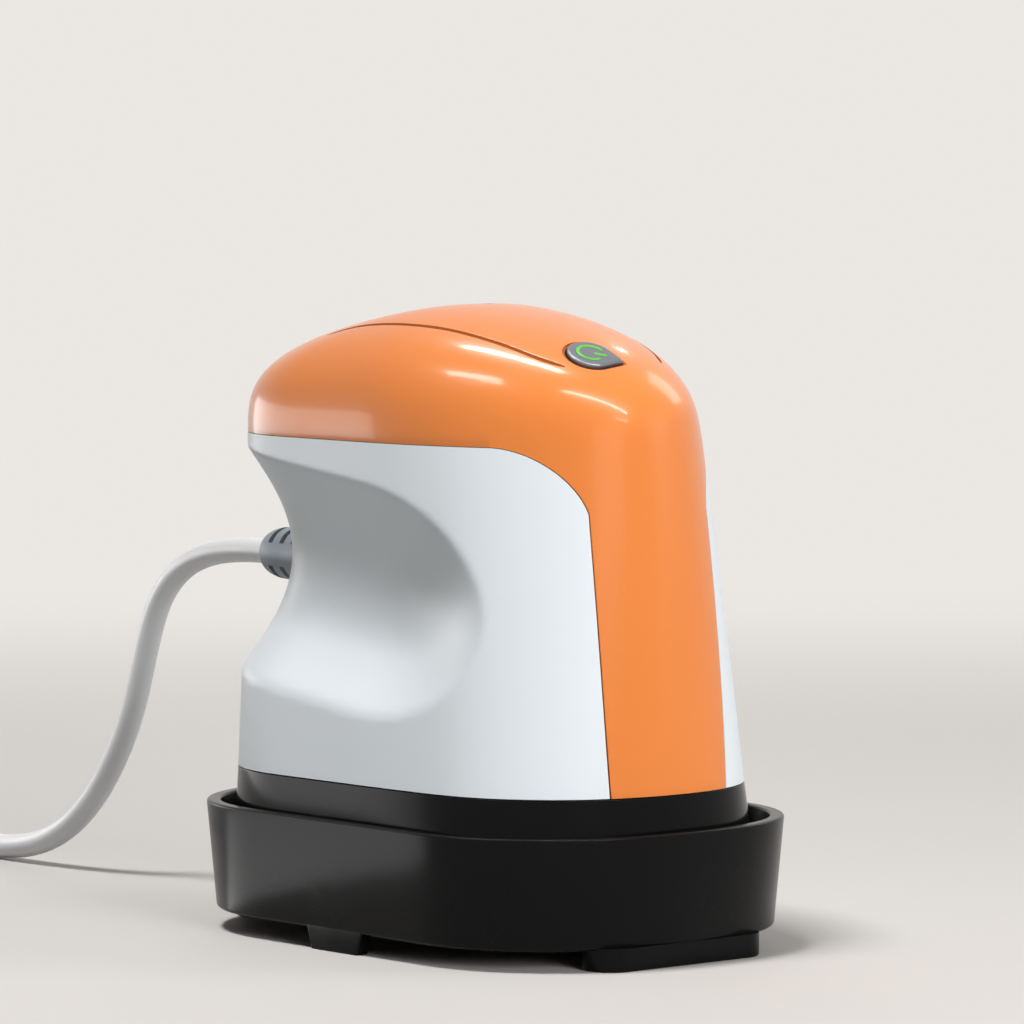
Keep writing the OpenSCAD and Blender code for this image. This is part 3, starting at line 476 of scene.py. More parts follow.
TERMINAL = Finish("terminal_green", (0.05, 0.30, 0.08), (0.07, 0.38, 0.11), (0.35, 0.45))
SENSOR = Finish("sensor_bead", (0.50, 0.17, 0.05), (0.60, 0.24, 0.08), (0.12, 0.20), coat=0.5)
LEAD_RED = Finish("lead_red", (0.48, 0.03, 0.02), (0.58, 0.05, 0.04), (0.40, 0.52))
LEAD_YELLOW = Finish("lead_yellow", (0.74, 0.58, 0.06), (0.84, 0.68, 0.11), (0.40, 0.52))
FLOOR_PAPER = Finish("floor_paper", (0.62, 0.595, 0.57), (0.64, 0.615, 0.59), (0.85, 0.95), tone_size=0.8,
                     specular=0.0)
LEAD_DARK = Finish("lead_dark", (0.05, 0.05, 0.055), (0.07, 0.07, 0.075), (0.40, 0.52))

SLOT_FINISHES = {
    "tray_black": TRAY_BLACK, "pad_rubber": PAD_GREY, "plate_coated": PLATE_COAT, "steel": STEEL,
    "felt": FELT, "gloss_black": PIANO_BLACK, "housing_white": SHELL_WHITE, "cover_orange": ORANGE,
    "button_silver": BUTTON_SILVER, "light_green": LIGHT_GREEN, "board": BOARD, "black_plastic": LEAD_DARK,
    "transformer_yellow": TRANSFORMER, "capacitor_blue": CAPACITOR, "terminal_green": TERMINAL,
    "sensor_glass": SENSOR, "gland_grey": GLAND_GREY, "cord_white": CORD_WHITE, "tie_white": CORD_WHITE,
    "lead_red": LEAD_RED, "lead_yellow": LEAD_YELLOW, "lead_dark": LEAD_DARK, "pin_nickel": NICKEL}


def linked(name: str, data: bpy.types.ID) -> bpy.types.Object:
    """Return a new object with the given data, linked to the scene."""
    made = bpy.data.objects.new(name, data)
    bpy.context.scene.collection.objects.link(made)
    return made


def mesh_of(name: str, surface: Surface, finish: Finish) -> bpy.types.Mesh:
    """Return a surface as a mesh in metres with its finish."""
    mesh = bpy.data.meshes.new(name)
    mesh.from_pydata((surface.points * MM).tolist(), [], surface.faces)
    mesh.materials.append(finish.material())
    return mesh


def shade_smooth(mesh: bpy.types.Mesh, sharp_deg: float) -> None:
    """Shade a mesh smoothly, apart from the edges that turn by more than an angle."""
    mesh.polygons.foreach_set("use_smooth", np.ones(len(mesh.polygons), bool))
    mesh.set_sharp_from_angle(angle=math.radians(sharp_deg))


def modify(target: bpy.types.Object, kind: str, settings: dict) -> None:
    """Add a modifier with its settings to an object."""
    modifier = target.modifiers.new(kind.lower(), kind)
    for key, value in settings.items():
        setattr(modifier, key, value)


@dataclass
class Piece:
    """A finished piece: its surface, finish and body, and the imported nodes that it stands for."""

    name: str
    surface: Surface
    finish: Finish
    slot: str
    body: Body | None
    nodes: tuple[str, ...] = ()
    sharp_deg: float = 35.0
    modifiers: tuple[tuple[str, dict], ...] = ()

    def build(self) -> bpy.types.Object:
        """Make the object in metres at the origin, dress it and tie it to its body.

        Returns:
            The finished object.
        """
        mesh = mesh_of(self.name, self.surface, self.finish)
        shade_smooth(mesh, self.sharp_deg)
        mesh.validate()
        made = linked(self.name, mesh)
        for kind, settings in self.modifiers:
            modify(made, kind, settings)
        if self.body is not None:
            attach(made, self.body.value)
        if self.nodes:
            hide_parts(*self.nodes)
        LOG.info("built %s: %d points, %d faces", self.name, len(mesh.vertices), len(mesh.polygons))
        return made


# ---------------------------------------------------------------- camera and room


def add_seen(tree: bpy.types.NodeTree) -> None:
    """Add a node "seen": 1 for the camera's rays and for mirrored and refracted ones, and 0 for the rest."""
    wired(tree, {"rays": ("LightPath", {}), "shown": ("Math", {"operation": "MAXIMUM"}),
                 "seen": ("Math", {"operation": "MAXIMUM"})}, (
        "rays.Is Camera Ray>shown.0", "rays.Is Glossy Ray>shown.1", "shown.Value>seen.0",
        "rays.Is Transmission Ray>seen.1"))


class Shine(Enum):
    """What a lamp does to the object."""

    ON_COLOUR = "lights its colours"
    IN_GLOSS = "shows in its gloss"


# Large boxes light the colours and stay out of the gloss: name, turn and rise in degrees, size, watts.
SOFT_BOXES = (
    ("left_box", 170.0, 74.0, (0.32, 0.32), 16.8),
    ("front_box", -101.0, 12.0, (0.60, 0.40), 13.4),
    ("right_box", -45.0, 14.0, (0.60, 0.40), 5.9),
    ("rear_box", 50.0, 10.0, (0.80, 0.40), 7.0))
# Strips and sheets draw the highlights alone: name, start, end, width, watts.
GLOSS_STRIPS = (
    ("strip_along", (0.056, 0.50, 1.02), (0.085, 0.0, 1.163), 0.08, 4.5),
    ("strip_left", (-0.569, 0.372, 0.922), (-0.525, 0.05, 1.04), 0.10, 2.2),
    ("strip_front", (-0.285, -0.33, 1.09), (0.193, -0.90, 0.695), 0.04, 5.0),
    ("strip_low", (-0.05, -0.93, 0.63), (0.17, -0.96, 0.53), 0.03, 0.35),
    ("spot_behind", (0.72, 0.49, 0.63), (0.728, 0.465, 0.655), 0.035, 0.10),
    ("right_sheet", (0.78, 0.13, 0.78), (0.96, -0.02, 0.45), 0.30, 1.0),
    ("side_sheet", (-0.295, 0.248, 0.095), (-0.020, 0.478, 0.095), 0.11, 0.41),
    ("tray_sheet", (-0.102, 0.020, 0.016), (-0.048, 0.0655, 0.016), 0.034, 0.020))


@dataclass(frozen=True)
class Studio:
    """Camera at its viewing place, pale floor and soft plain lamps, in metres."""

    camera_at: tuple[float, float, float] = (-0.9010, -1.0655, 0.1852)
    camera_down_deg: float = 3.888
    camera_turn_deg: float = -40.39
    lens_mm: float = 231.36
    sensor_mm: float = 36.0
    camera_reach: float = 50.0
    floor_half: float = 6.0
    world_level: float = 0.14
    sky: tuple[float, float, float] = (1.0, 0.985, 0.97)
    lamp_aim: tuple[float, float, float] = (0.0, 0.0, 0.12)
    box_distance: float = 1.4
    backdrop: tuple[float, float, float] = (0.83, 0.80, 0.77)
    thrown_back: tuple[float, float, float] = (0.30, 0.295, 0.285)
    fade_from: float = 0.30
    fade_to: float = 1.10

    def add_camera(self) -> None:
        """Set the scene's camera."""
        camera = bpy.data.cameras.new("camera")
        camera.lens = self.lens_mm
        camera.sensor_width = self.sensor_mm
        camera.clip_end = self.camera_reach
        holder = linked("camera", camera)
        holder.location = self.camera_at
        holder.rotation_euler = (
            math.radians(90 - self.camera_down_deg), 0.0, math.radians(self.camera_turn_deg))
        bpy.context.scene.camera = holder

    def hang(self, name: str, place: Vector, size: tuple[float, float], watts: float, along: Vector,
             shines: Shine) -> None:
        """Hang one rectangular lamp that faces the object.

        Args:
            name: Name of the lamp.
            place: Where its middle hangs.
            size: Length along the given direction, and width across it.
            watts: Its strength.
            along: Direction of its length.
            shines: Whether it lights the colours of things or shows in their gloss.
        """
        lamp = bpy.data.lights.new(name, "AREA")
        lamp.shape = "RECTANGLE"
        lamp.size, lamp.size_y = size
        lamp.energy = watts
        back = (place - Vector(self.lamp_aim)).normalized()
        across = back.cross(along).normalized()
        turn = Matrix((across.cross(back), across, back)).transposed()
        holder = linked(name, lamp)
        holder.location = place
        holder.rotation_euler = turn.to_euler()
        holder.visible_camera = False
        holder.visible_glossy = shines is Shine.IN_GLOSS
        holder.visible_diffuse = shines is Shine.ON_COLOUR

    def add_box(self, name: str, turn_deg: float, rise_deg: float, size: tuple[float, float],
                watts: float) -> None:
        """Hang one large soft box that lights the colours, at a turn and a rise seen from the object."""
        turn, rise = math.radians(turn_deg), math.radians(rise_deg)
        off = Vector((math.cos(rise) * math.cos(turn), math.cos(rise) * math.sin(turn), math.sin(rise)))
        self.hang(name, Vector(self.lamp_aim) + self.box_distance * off, size, watts,
                  Vector((-math.sin(turn), math.cos(turn), 0.0)), Shine.ON_COLOUR)

    def add_strip(self, name: str, start: tuple[float, float, float], end: tuple[float, float, float],
                  width: float, watts: float) -> None:
        """Hang one strip between two places, which shows in the gloss alone."""
        along = Vector(end) - Vector(start)
        middle = (Vector(start) + Vector(end)) / 2
        self.hang(name, middle, (along.length, width), watts, along, Shine.IN_GLOSS)

    def floor_material(self) -> bpy.types.Material:
        """Return the pale paper of the floor, which fades into the backdrop's colour with distance.

        The camera and reflections alone see the fade, and the paper throws back less light than it shows.

        Returns:
            The floor's material.
        """
        made = FLOOR_PAPER.material()
        add_seen(made.node_tree)
        wired(made.node_tree, {
            "reach": ("VectorMath", {"operation": "LENGTH"}),
            "fade": ("MapRange", {"interpolation_type": "SMOOTHERSTEP", "From Min": self.fade_from,
                                  "From Max": self.fade_to}),
            "far": ("Math", {"operation": "MULTIPLY"}),
            "plain": ("Emission", {"Color": (*self.backdrop, 1.0)}),
            "mixed": ("MixShader", {}),
            "thrown": ("Mix", {"data_type": "RGBA", "A": (*self.thrown_back, 1.0)})}, (
            "place.Object>reach.0", "reach.Value>fade.Value", "fade.Result>far.0", "seen.Value>far.1",
            "far.Value>mixed.Fac", "Principled BSDF.BSDF>mixed.1", "plain.Emission>mixed.2",
            "mixed.Shader>Material Output.Surface", "seen.Value>thrown.Factor", "colour.Result>thrown.B",
            "thrown.Result>Principled BSDF.Base Color"))
        return made

    def add_world(self) -> None:
        """Add the even light from all round, and the backdrop's colour behind the object."""
        world = bpy.data.worlds.new("world")
        bpy.context.scene.world = world
        world.use_nodes = True
        even = world.node_tree.nodes["Background"].inputs
        even["Color"].default_value = (*self.sky, 1.0)
        even["Strength"].default_value = self.world_level
        add_seen(world.node_tree)
        wired(world.node_tree, {
            "plain": ("Background", {"Color": (*self.backdrop, 1.0)}), "mixed": ("MixShader", {})}, (
            "seen.Value>mixed.Fac", "Background.Background>mixed.1", "plain.Background>mixed.2",
            "mixed.Shader>World Output.Surface"))

    def add_room(self) -> None:
        """Add the floor, the world and the lamps."""
        half = self.floor_half
        mesh = bpy.data.meshes.new("floor")
        corners = [(-half, -half, 0), (half, -half, 0), (half, half, 0), (-half, half, 0)]
        mesh.from_pydata(corners, [], [(0, 1, 2, 3)])
        floor = linked("floor", mesh)
        mesh.materials.append(self.floor_material())
        self.add_world()
        for box in SOFT_BOXES:
            self.add_box(*box)
        for strip in GLOSS_STRIPS:
            self.add_strip(*strip)
        bpy.context.scene.view_settings.view_transform = "Standard"


# ---------------------------------------------------------------- outline and body of the press


@dataclass(frozen=True)
class PressOutline:
    """Pressing outline: shallow end arcs, corner arcs and straight sides."""

    half_l: float = 60.0
    half_w: float = 40.3
    end_r: float = 78.0
    corner_r: float = 32.0
    ease_turns: tuple[float, ...] = (-0.075, -0.05, -0.025, 0.0, 0.025, 0.05, 0.075)
    ease_weights: tuple[float, ...] = (0.05, 0.12, 0.2, 0.26, 0.2, 0.12, 0.05)

    def points(self, turn: np.ndarray) -> tuple[np.ndarray, np.ndarray]:
        """Return the outline at a turn, averaged over a few millimetres so that its curvature never jumps."""
        near = [self.arcs(turn + step) for step in self.ease_turns]
        return (sum(weight * x for weight, (x, _) in zip(self.ease_weights, near)),
                sum(weight * y for weight, (_, y) in zip(self.ease_weights, near)))

    def arcs(self, turn: np.ndarray) -> tuple[np.ndarray, np.ndarray]:
        """Return the outline's arcs at a turn, one unit for each quarter.

        A quarter is an end arc about (0, end_y), a corner arc tangent to it, and a straight side, passed at
        an even speed. The other quarters are its mirror images.

        Args:
            turn: 0 at the middle of the rear, 1 at the +X side, 2 at the front, 3 at the -X side.

        Returns:
            X and Y of the outline.
        """
        whole = np.mod(turn, 4.0)
        side = np.where(whole <= 2, 1.0, -1.0)
        half = np.where(whole <= 2, whole, 4 - whole)
        rear = np.where(half <= 1, 1.0, -1.0)
        end_y = self.half_l - self.end_r
        corner_x = self.half_w - self.corner_r
        reach = math.sqrt((self.end_r - self.corner_r) ** 2 - corner_x**2)
        corner_y = end_y + reach
        corner_a = math.atan2(corner_x, reach)
        end_run = self.end_r * corner_a
        arc_run = end_run + self.corner_r * (math.pi / 2 - corner_a)
        run = np.where(half <= 1, half, 2 - half) * (arc_run + corner_y)
        end_angle = np.minimum(run, end_run) / self.end_r
        angle = corner_a + (np.clip(run, end_run, arc_run) - end_run) / self.corner_r
        x = np.where(run < end_run, self.end_r * np.sin(end_angle), corner_x + self.corner_r * np.sin(angle))
        y = np.where(run < end_run, end_y + self.end_r * np.cos(end_angle),
                     corner_y + self.corner_r * np.cos(angle))
        return side * x, rear * (y - np.maximum(run - arc_run, 0))

    def grown(self, turn: np.ndarray, out: np.ndarray, z: np.ndarray) -> np.ndarray:
        """Return points of the outline grown by out on each half size, at height z."""
        x, y = self.points(turn)
        return spread_out(x * (1 + out / self.half_w), y * (1 + out / self.half_l), z)


Share = tuple[np.ndarray | float, np.ndarray | float, np.ndarray | float]
FULL: Share = (1.0, 1.0, 1.0)
BODY_H = 119.6


@dataclass(frozen=True)
class PressBody:
    """Wall and dome of the press above its skirt. Heights are above the skirt's lower edge."""

    outline: PressOutline = PressOutline()
    low_z: float = 15.0
    skirt_h: float = 19.9
    height: float = BODY_H
    shoulder_z: float = 92.0
    front_l: float = 59.1
    rear_l: float = 59.8
    side_w: float = 38.9
    front_draft: float = 0.031
    front_bow: float = 3.35
    side_draft: float = 0.07
    side_bow: float = 1.1
    soft_foot: float = 0.22
    soft_rise: float = 0.64
    rise_ref: float = 70.0
    pole_y: float = 5.8
    pole_from_z: float = 60.0
    dome_up: float = 3.0
    dome_out: tuple[float, float, float] = (1.17, 1.1, 2.0)
    pole_soft: float = 0.13
    scoop_depth: float = 10.1
    scoop_half_h: float = 24.0
    scoop_z: float = 59.0
    scoop_reach: float = 35.0
    scoop_lean: float = 0.12
    scoop_bell: float = 1.15

    def ring(self, turn: np.ndarray, z: np.ndarray, share: Share = FULL) -> tuple[np.ndarray, np.ndarray]:
        """Return the body's outline at a height, without the finger scoop.

        The half sizes follow a draft and a bow in z, and the dome takes a share of each. The corners move
        from the pressing outline towards an ellipse, at the front as they rise and at the rear in the dome.

        Args:
            turn: Place round the outline.
            z: Height above the skirt's lower edge.
            share: Parts of the wall's distance from the axis, to the front, the rear and the sides.

        Returns:
            X and Y.
        """
        rise = z - self.skirt_h
        bow = (rise / self.rise_ref) ** 2
        front = (self.front_l - self.front_draft * rise - self.front_bow * bow) * share[0]
        side = (self.side_w - self.side_draft * rise + self.side_bow * bow) * share[2]
        rear = self.rear_l * share[1]
        soft = np.clip(self.soft_foot + self.soft_rise * np.maximum(rise, 0) / self.rise_ref, 0, 1)
        middle = self.middle(z)
        x, y = self.outline.points(turn)
        angle = np.arctan2(x / self.outline.half_w, y / self.outline.half_l)
        soft = np.where(y < 0, soft, 1 - share[1])
        x = x + (self.outline.half_w * np.sin(angle) - x) * soft
        y = y + (self.outline.half_l * np.cos(angle) - y) * soft
        reach = np.where(y < 0, front + middle, rear - middle)
        return x * side / self.outline.half_w, middle + y * reach / self.outline.half_l

    def middle(self, z: np.ndarray) -> np.ndarray:
        """Return Y of the outline's middle, which moves towards the pole as it rises."""
        return self.pole_y * (np.maximum(z - self.pole_from_z, 0) / (BODY_H - self.pole_from_z)) ** 2

    def scoop(self, y: np.ndarray, z: np.ndarray) -> np.ndarray:
        """Return the scoop's depth: a flattened bell over an ellipse that is open to the rear."""
        mid = self.scoop_z + self.scoop_lean * y
        off = ((z - mid) / self.scoop_half_h) ** 2 + (np.minimum(y, 0) / self.scoop_reach) ** 2
        return self.scoop_depth * np.maximum(1 - off, 0) ** self.scoop_bell

    def wall_points(self, turn: np.ndarray, z: np.ndarray) -> np.ndarray:
        """Return points of the wall in the row frame.

        The scoop moves the outline inwards, along its own level normal.

        Args:
            turn: Place round the outline.
            z: Height above the skirt's lower edge.

        Returns:
            Points (..., 3).
        """
        x, y = self.ring(turn, z)
        step = 1e-3
        x_after, y_after = self.ring(turn + step, z)
        x_before, y_before = self.ring(turn - step, z)
        across = np.stack([-(y_after - y_before), x_after - x_before])
        across = across / np.linalg.norm(across, axis=0)
        depth = self.scoop(y, z)
        return spread_out(x - across[0] * depth, y - across[1] * depth, z + self.low_z)

    def dome(self, angle: np.ndarray) -> tuple[np.ndarray, Share]:
        """Return height and shares of the dome's curve.

        The height rises from the shoulder as sin(angle)^(2 / dome_up), and each share falls as
        cos(angle)^(2 / dome_out), rounded at the pole.

        Args:
            angle: 0 at the shoulder, a quarter turn at the pole.

        Returns:
            Height above the skirt's lower edge, and parts of the wall's distance from the axis.
        """
        z = self.shoulder_z + (self.height - self.shoulder_z) * np.sin(angle) ** (2 / self.dome_up)
        soft = self.pole_soft
        scale = math.sqrt(1 + soft**2) - soft
        falls = [np.maximum(np.cos(angle), 0) ** (2 / power) for power in self.dome_out]
        front, rear, side = (np.sqrt(np.maximum((fall * scale + soft) ** 2 - soft**2, 0)) for fall in falls)
        return z, (front, rear, side)

    def lining(self, wall: float) -> "PressBody":
        """Return the body one wall thickness smaller, for the inner side of a shell."""
        return replace(self, front_l=self.front_l - wall, rear_l=self.rear_l - wall,
                       side_w=self.side_w - wall, height=self.height - wall)

    def turn_at(self, z: np.ndarray, y: np.ndarray) -> np.ndarray:
        """Find the turn on the front +X quarter where the ring at height z has that Y, by halving."""
        low, high = np.ones_like(z), np.full_like(z, 2.0)
        for _ in range(HALVINGS):
            middle = (low + high) / 2
            behind = self.ring(middle, z)[1] > y
            low, high = np.where(behind, middle, low), np.where(behind, high, middle)
        return (low + high) / 2


HALVINGS = 30
HALVINGS_ON_DOME = 24
BODY = PressBody()


@dataclass(frozen=True)
class SplitLine:
    """Side view of the line between the cover and the housing: a bowed edge, then a corner arc."""

    top_z: float = 91.6
    corner_r: float = 18.7
    corner_y: float = -32.0
    corner_turn_deg: float = 74.0
    foot_y: float = -56.55
    foot_z: float = 19.9
    bow: float = 0.28
    straight_rows: int = 44
    arc_rows: int = 22

    def rows(self, low_z: float, gap: float) -> tuple[np.ndarray, np.ndarray]:
        """Return heights and the line's Y, from the foot up and round the corner.

        Below the corner arc, Y runs from the foot to the arc's end as u (1 - bow + bow u).

        Args:
            low_z: Height of the first row.
            gap: Distance that the line is moved towards the housing.

        Returns:
            Height and Y of each row.
        """
        corner_z = self.top_z - self.corner_r
        start = math.radians(90 - self.corner_turn_deg)
        meet_y = self.corner_y - self.corner_r * math.cos(start)
        meet_z = corner_z + self.corner_r * math.sin(start)
        edge = np.linspace(low_z, meet_z, self.straight_rows)
        rise = (edge - self.foot_z) / (meet_z - self.foot_z)
        bowed = self.foot_y + (meet_y - self.foot_y) * rise * (1 - self.bow + self.bow * rise)
        angle = np.linspace(start, math.pi / 2, self.arc_rows + 1)[1:]
        radius = self.corner_r - gap
        return (np.concatenate([edge, corner_z + radius * np.sin(angle)]),
                np.concatenate([bowed + gap, self.corner_y - radius * np.cos(angle)]))


SPLIT = SplitLine()
WALL_MM = 2.4
BEVEL = {"width": 0.10 * MM, "segments": 2, "limit_method": "ANGLE"}
RIM_BEVEL = (("BEVEL", BEVEL | {"angle_limit": math.radians(60)}),)
CUT_BEVEL = ("BEVEL", BEVEL | {"angle_limit": math.radians(50)})


@dataclass(frozen=True)
class Housing:
    """Pale grip housing with the finger scoop."""

    gap: float = 0.14
    foot_gap: float = 0.12
    columns: int = 220

    def surface(self) -> Surface:
        """Return the wall between the split line's two edges, round the rear."""
        z, y = SPLIT.rows(BODY.skirt_h + self.foot_gap, self.gap)
        edge = BODY.turn_at(z, y)
        turn = edge[:, None] * np.linspace(1, -1, self.columns)[None, :]
        outer = grid_surface(BODY.wall_points(turn, z[:, None]))
        return shelled(outer, BODY.lining(WALL_MM).wall_points(turn, z[:, None]).reshape(-1, 3))

    def build(self) -> bpy.types.Object:
        """Build the housing with its wall."""
        return Piece("grip_housing", self.surface(), SHELL_WHITE, "housing_white", Body.PRESS, ("housing",),
                     modifiers=RIM_BEVEL).build()


def softened_crown(rings: np.ndarray, pole: np.ndarray, reach: float,
                   spread: float) -> tuple[np.ndarray, np.ndarray]:
    """Round off the ridge where the dome's front and rear meet at the top.

    Near the pole each height becomes twice its Gaussian mean over the plan less the mean of the means, which
    keeps the dome's own curve. Further out the old heights come back with a smooth step.

    Args:
        rings: Points of the dome, one row for each ring.
        pole: Its top point.
        reach: Distance from the pole at which the old heights are back.
        spread: Spread of the Gaussian.

    Returns:
        The rings and the pole with their new heights.
    """
    plan = rings[..., :2] - pole[:2]
    along, round_it = np.gradient(plan, axis=0), np.gradient(plan, axis=1)
    area = np.abs(along[..., 0] * round_it[..., 1] - along[..., 1] * round_it[..., 0])
    far = np.hypot(plan[..., 0], plan[..., 1])
    taken = (far < reach + 3 * spread) & (np.arange(rings.shape[1]) % 3 == 0)
    source, heights, share = plan[taken], rings[taken][:, 2], area[taken]

    def mean(places: np.ndarray, values: np.ndarray) -> np.ndarray:
        """Return the Gaussian mean of the values at the places."""
        gap = np.sum((places[:, None, :] - source[None, :, :]) ** 2, axis=2)
        weight = share * np.exp(-gap / (2 * spread ** 2))
        return weight @ values / weight.sum(axis=1)

    near = far < reach
    places = np.vstack([plan[near], [[0.0, 0.0]]])
    smooth = 2 * mean(places, heights) - mean(places, mean(source, heights))
    step = eased(np.clip(2 - 2 * np.append(far[near], 0.0) / reach, 0, 1))
    old = np.append(rings[near][:, 2], pole[2])
    mixed = old + step * (smooth - old)
    rings, pole = rings.copy(), pole.astype(float)
    rings[near, 2], pole[2] = mixed[:-1], mixed[-1]
    return rings, pole


@dataclass(frozen=True)
class TopCover:
    """Glossy cover: dome, front band, the button's recess and two grooves."""

    front_columns: int = 96
    rear_columns: int = 150
    dome_rows: int = 70
    crown_reach: float = 17.0
    crown_spread: float = 3.2
    foot_gap: float = 0.12
    groove_path: tuple[tuple[float, float], ...] = (
        (24.2, 26), (22.9, 20), (22.4, 14), (22.3, 7), (21.9, -1), (21.2, -7), (20.5, -12), (19.8, -17),
        (18.9, -22), (18.1, -26), (17.2, -30), (16.2, -33.5), (14.9, -36.4), (13.2, -39.1))
    groove_w: float = 1.1
    groove_depth: float = 0.7
    groove_up: float = 0.6
    groove_step: float = 1.2
    groove_sides: int = 16
    groove_tip: tuple[float, float] = (0.3, 0.75)
    bearings: int = 721
    sharp_deg: float = 32.0

    def side(self, body: PressBody) -> Surface:
        """Return one side of the cover's wall.

        The dome's rows are whole rings whose front columns carry on down as the front band.

        Args:
            body: The body whose surface this side lies on.

        Returns:
            The open surface.
        """
        z_band, y_band = SPLIT.rows(BODY.skirt_h + self.foot_gap, 0.0)
        edge = BODY.turn_at(z_band, y_band)
        # Columns run from the +X edge of the band round the rear to the -X edge, then across the front.
        rear = edge[-1] * np.linspace(1, -1, self.rear_columns + 1)
        across = np.linspace(-1, 1, self.front_columns + 1)
        front = -2 + (2 - edge[-1]) * across[::-1]
        turn = np.concatenate([rear[:-1], front[:-1]])
        angle = np.linspace(0, math.pi / 2, self.dome_rows + 1)[1:-1]
        z_dome, shares = body.dome(angle)
        z_rows = np.concatenate([[z_band[-1]], z_dome])[:, None]
        shares = tuple(np.concatenate([[1.0], share])[:, None] for share in shares)
        x, y = body.ring(turn[None, :], z_rows, shares)
        rings = spread_out(x, y, z_rows + body.low_z)
        pole = np.array([0, BODY.pole_y, body.height + body.low_z])
        rings, pole = softened_crown(rings, pole, self.crown_reach, self.crown_spread)
        dome = capped(rings, None, pole)
        # The band's top row is the dome's first row, from the last rear column to the first.
        band_turn = -2 + (2 - edge[:-1, None]) * across[None, ::-1]
        band = body.wall_points(band_turn, z_band[:-1, None])
        shift = len(dome.points)
        rows, cols = band.shape[:2]
        own = grid_faces(rows, cols) + shift
        top = np.append(np.arange(self.rear_columns, self.rear_columns + self.front_columns), 0)
        last = shift + (rows - 1) * cols + np.arange(cols)
        joint = np.stack([last[:-1], last[1:], top[1:], top[:-1]], axis=1)
        return Surface(np.vstack([dome.points, band.reshape(-1, 3)]),
                       dome.faces + own.tolist() + joint.tolist())

    def height_at(self, x: np.ndarray, y: np.ndarray) -> np.ndarray:
        """Return the dome's height at plan points, by halving the dome's angle.

        The share that puts a ring through a point is the point's distance from the axis over the ring's.

        Args:
            x: X of the points.
            y: Y of the points.

        Returns:
            Height in the row frame.
        """
        low, high = np.zeros_like(x), np.full_like(x, math.pi / 2)
        turn = np.linspace(0, 4, self.bearings)[None, :]
        for _ in range(HALVINGS_ON_DOME):
            angle = (low + high) / 2
            z, shares = BODY.dome(angle)
            ring_x, ring_y = BODY.ring(turn, z[:, None], tuple(share[:, None] for share in shares))
            middle = BODY.middle(z)
            bearing = np.arctan2(ring_x, ring_y - middle[:, None])
            wanted = np.arctan2(x, y - middle)
            near = np.argmin(np.abs(np.angle(np.exp(1j * (bearing - wanted[:, None])))), axis=1)
            pick = np.arange(len(x))
            reach = np.hypot(ring_x[pick, near], ring_y[pick, near] - middle)
            inside = np.hypot(x, y - middle) < reach
            low, high = np.where(inside, angle, low), np.where(inside, high, angle)
        return BODY.dome((low + high) / 2)[0] + BODY.low_z

    def groove_cutter(self, side: float) -> Surface:
        """Return the solid that cuts one groove, a rounded channel along the dome.

        Args:
            side: 1 for +X and -1 for -X.

        Returns:
            A closed tube whose lower half lies in the cover.
        """
        plan = smooth_path(np.array([(side * px, py, 0.0) for px, py in self.groove_path]),
                           self.groove_step, 2)
        plan[:, 2] = self.height_at(plan[:, 0], plan[:, 1])
        half = np.full(len(plan), self.groove_w / 2)
        half[[0, -1]] *= self.groove_tip[0]
        half[[1, -2]] *= self.groove_tip[1]
        raised = plan + np.array([0, 0, self.groove_up])
        return tube(raised, half, half + self.groove_depth, self.groove_sides)

    def build(self, button: "PowerButton") -> bpy.types.Object:
        """Build the cover with its wall, and cut the recess and the grooves.

        Args:
            button: The button that the recess is for.

        Returns:
            The finished cover.
        """
        wall = shelled(self.side(BODY), self.side(BODY.lining(WALL_MM)).points)
        cover = Piece("top_cover_shell", wall, ORANGE, "cover_orange", Body.PRESS, ("top_cover",)).build()
        cutters = [self.groove_cutter(1.0), self.groove_cutter(-1.0), *button.recess_cutters()]
        # The cutters carry the painted groove shade, and the faces they cut into the cover take it over.
        tools = [linked(f"cutter_{number}", mesh_of(f"cutter_{number}", surface, GROOVE_PAINTED_SHADE))
                 for number, surface in enumerate(cutters)]
        for tool in tools:
            modify(cover, "BOOLEAN", {"operation": "DIFFERENCE", "object": tool, "solver": "EXACT",
                                      "material_mode": "TRANSFER"})
        modify(cover, *CUT_BEVEL)
        bpy.context.view_layer.update()
        evaluated = cover.evaluated_get(bpy.context.evaluated_depsgraph_get())
        finished = bpy.data.meshes.new_from_object(evaluated)
        cover.modifiers.clear()
        cover.data = finished
        shade_smooth(finished, self.sharp_deg)
        for tool in tools:
            bpy.data.objects.remove(tool)
        LOG.info("cut the cover: %d faces", len(finished.polygons))
        return cover


# ---------------------------------------------------------------- button


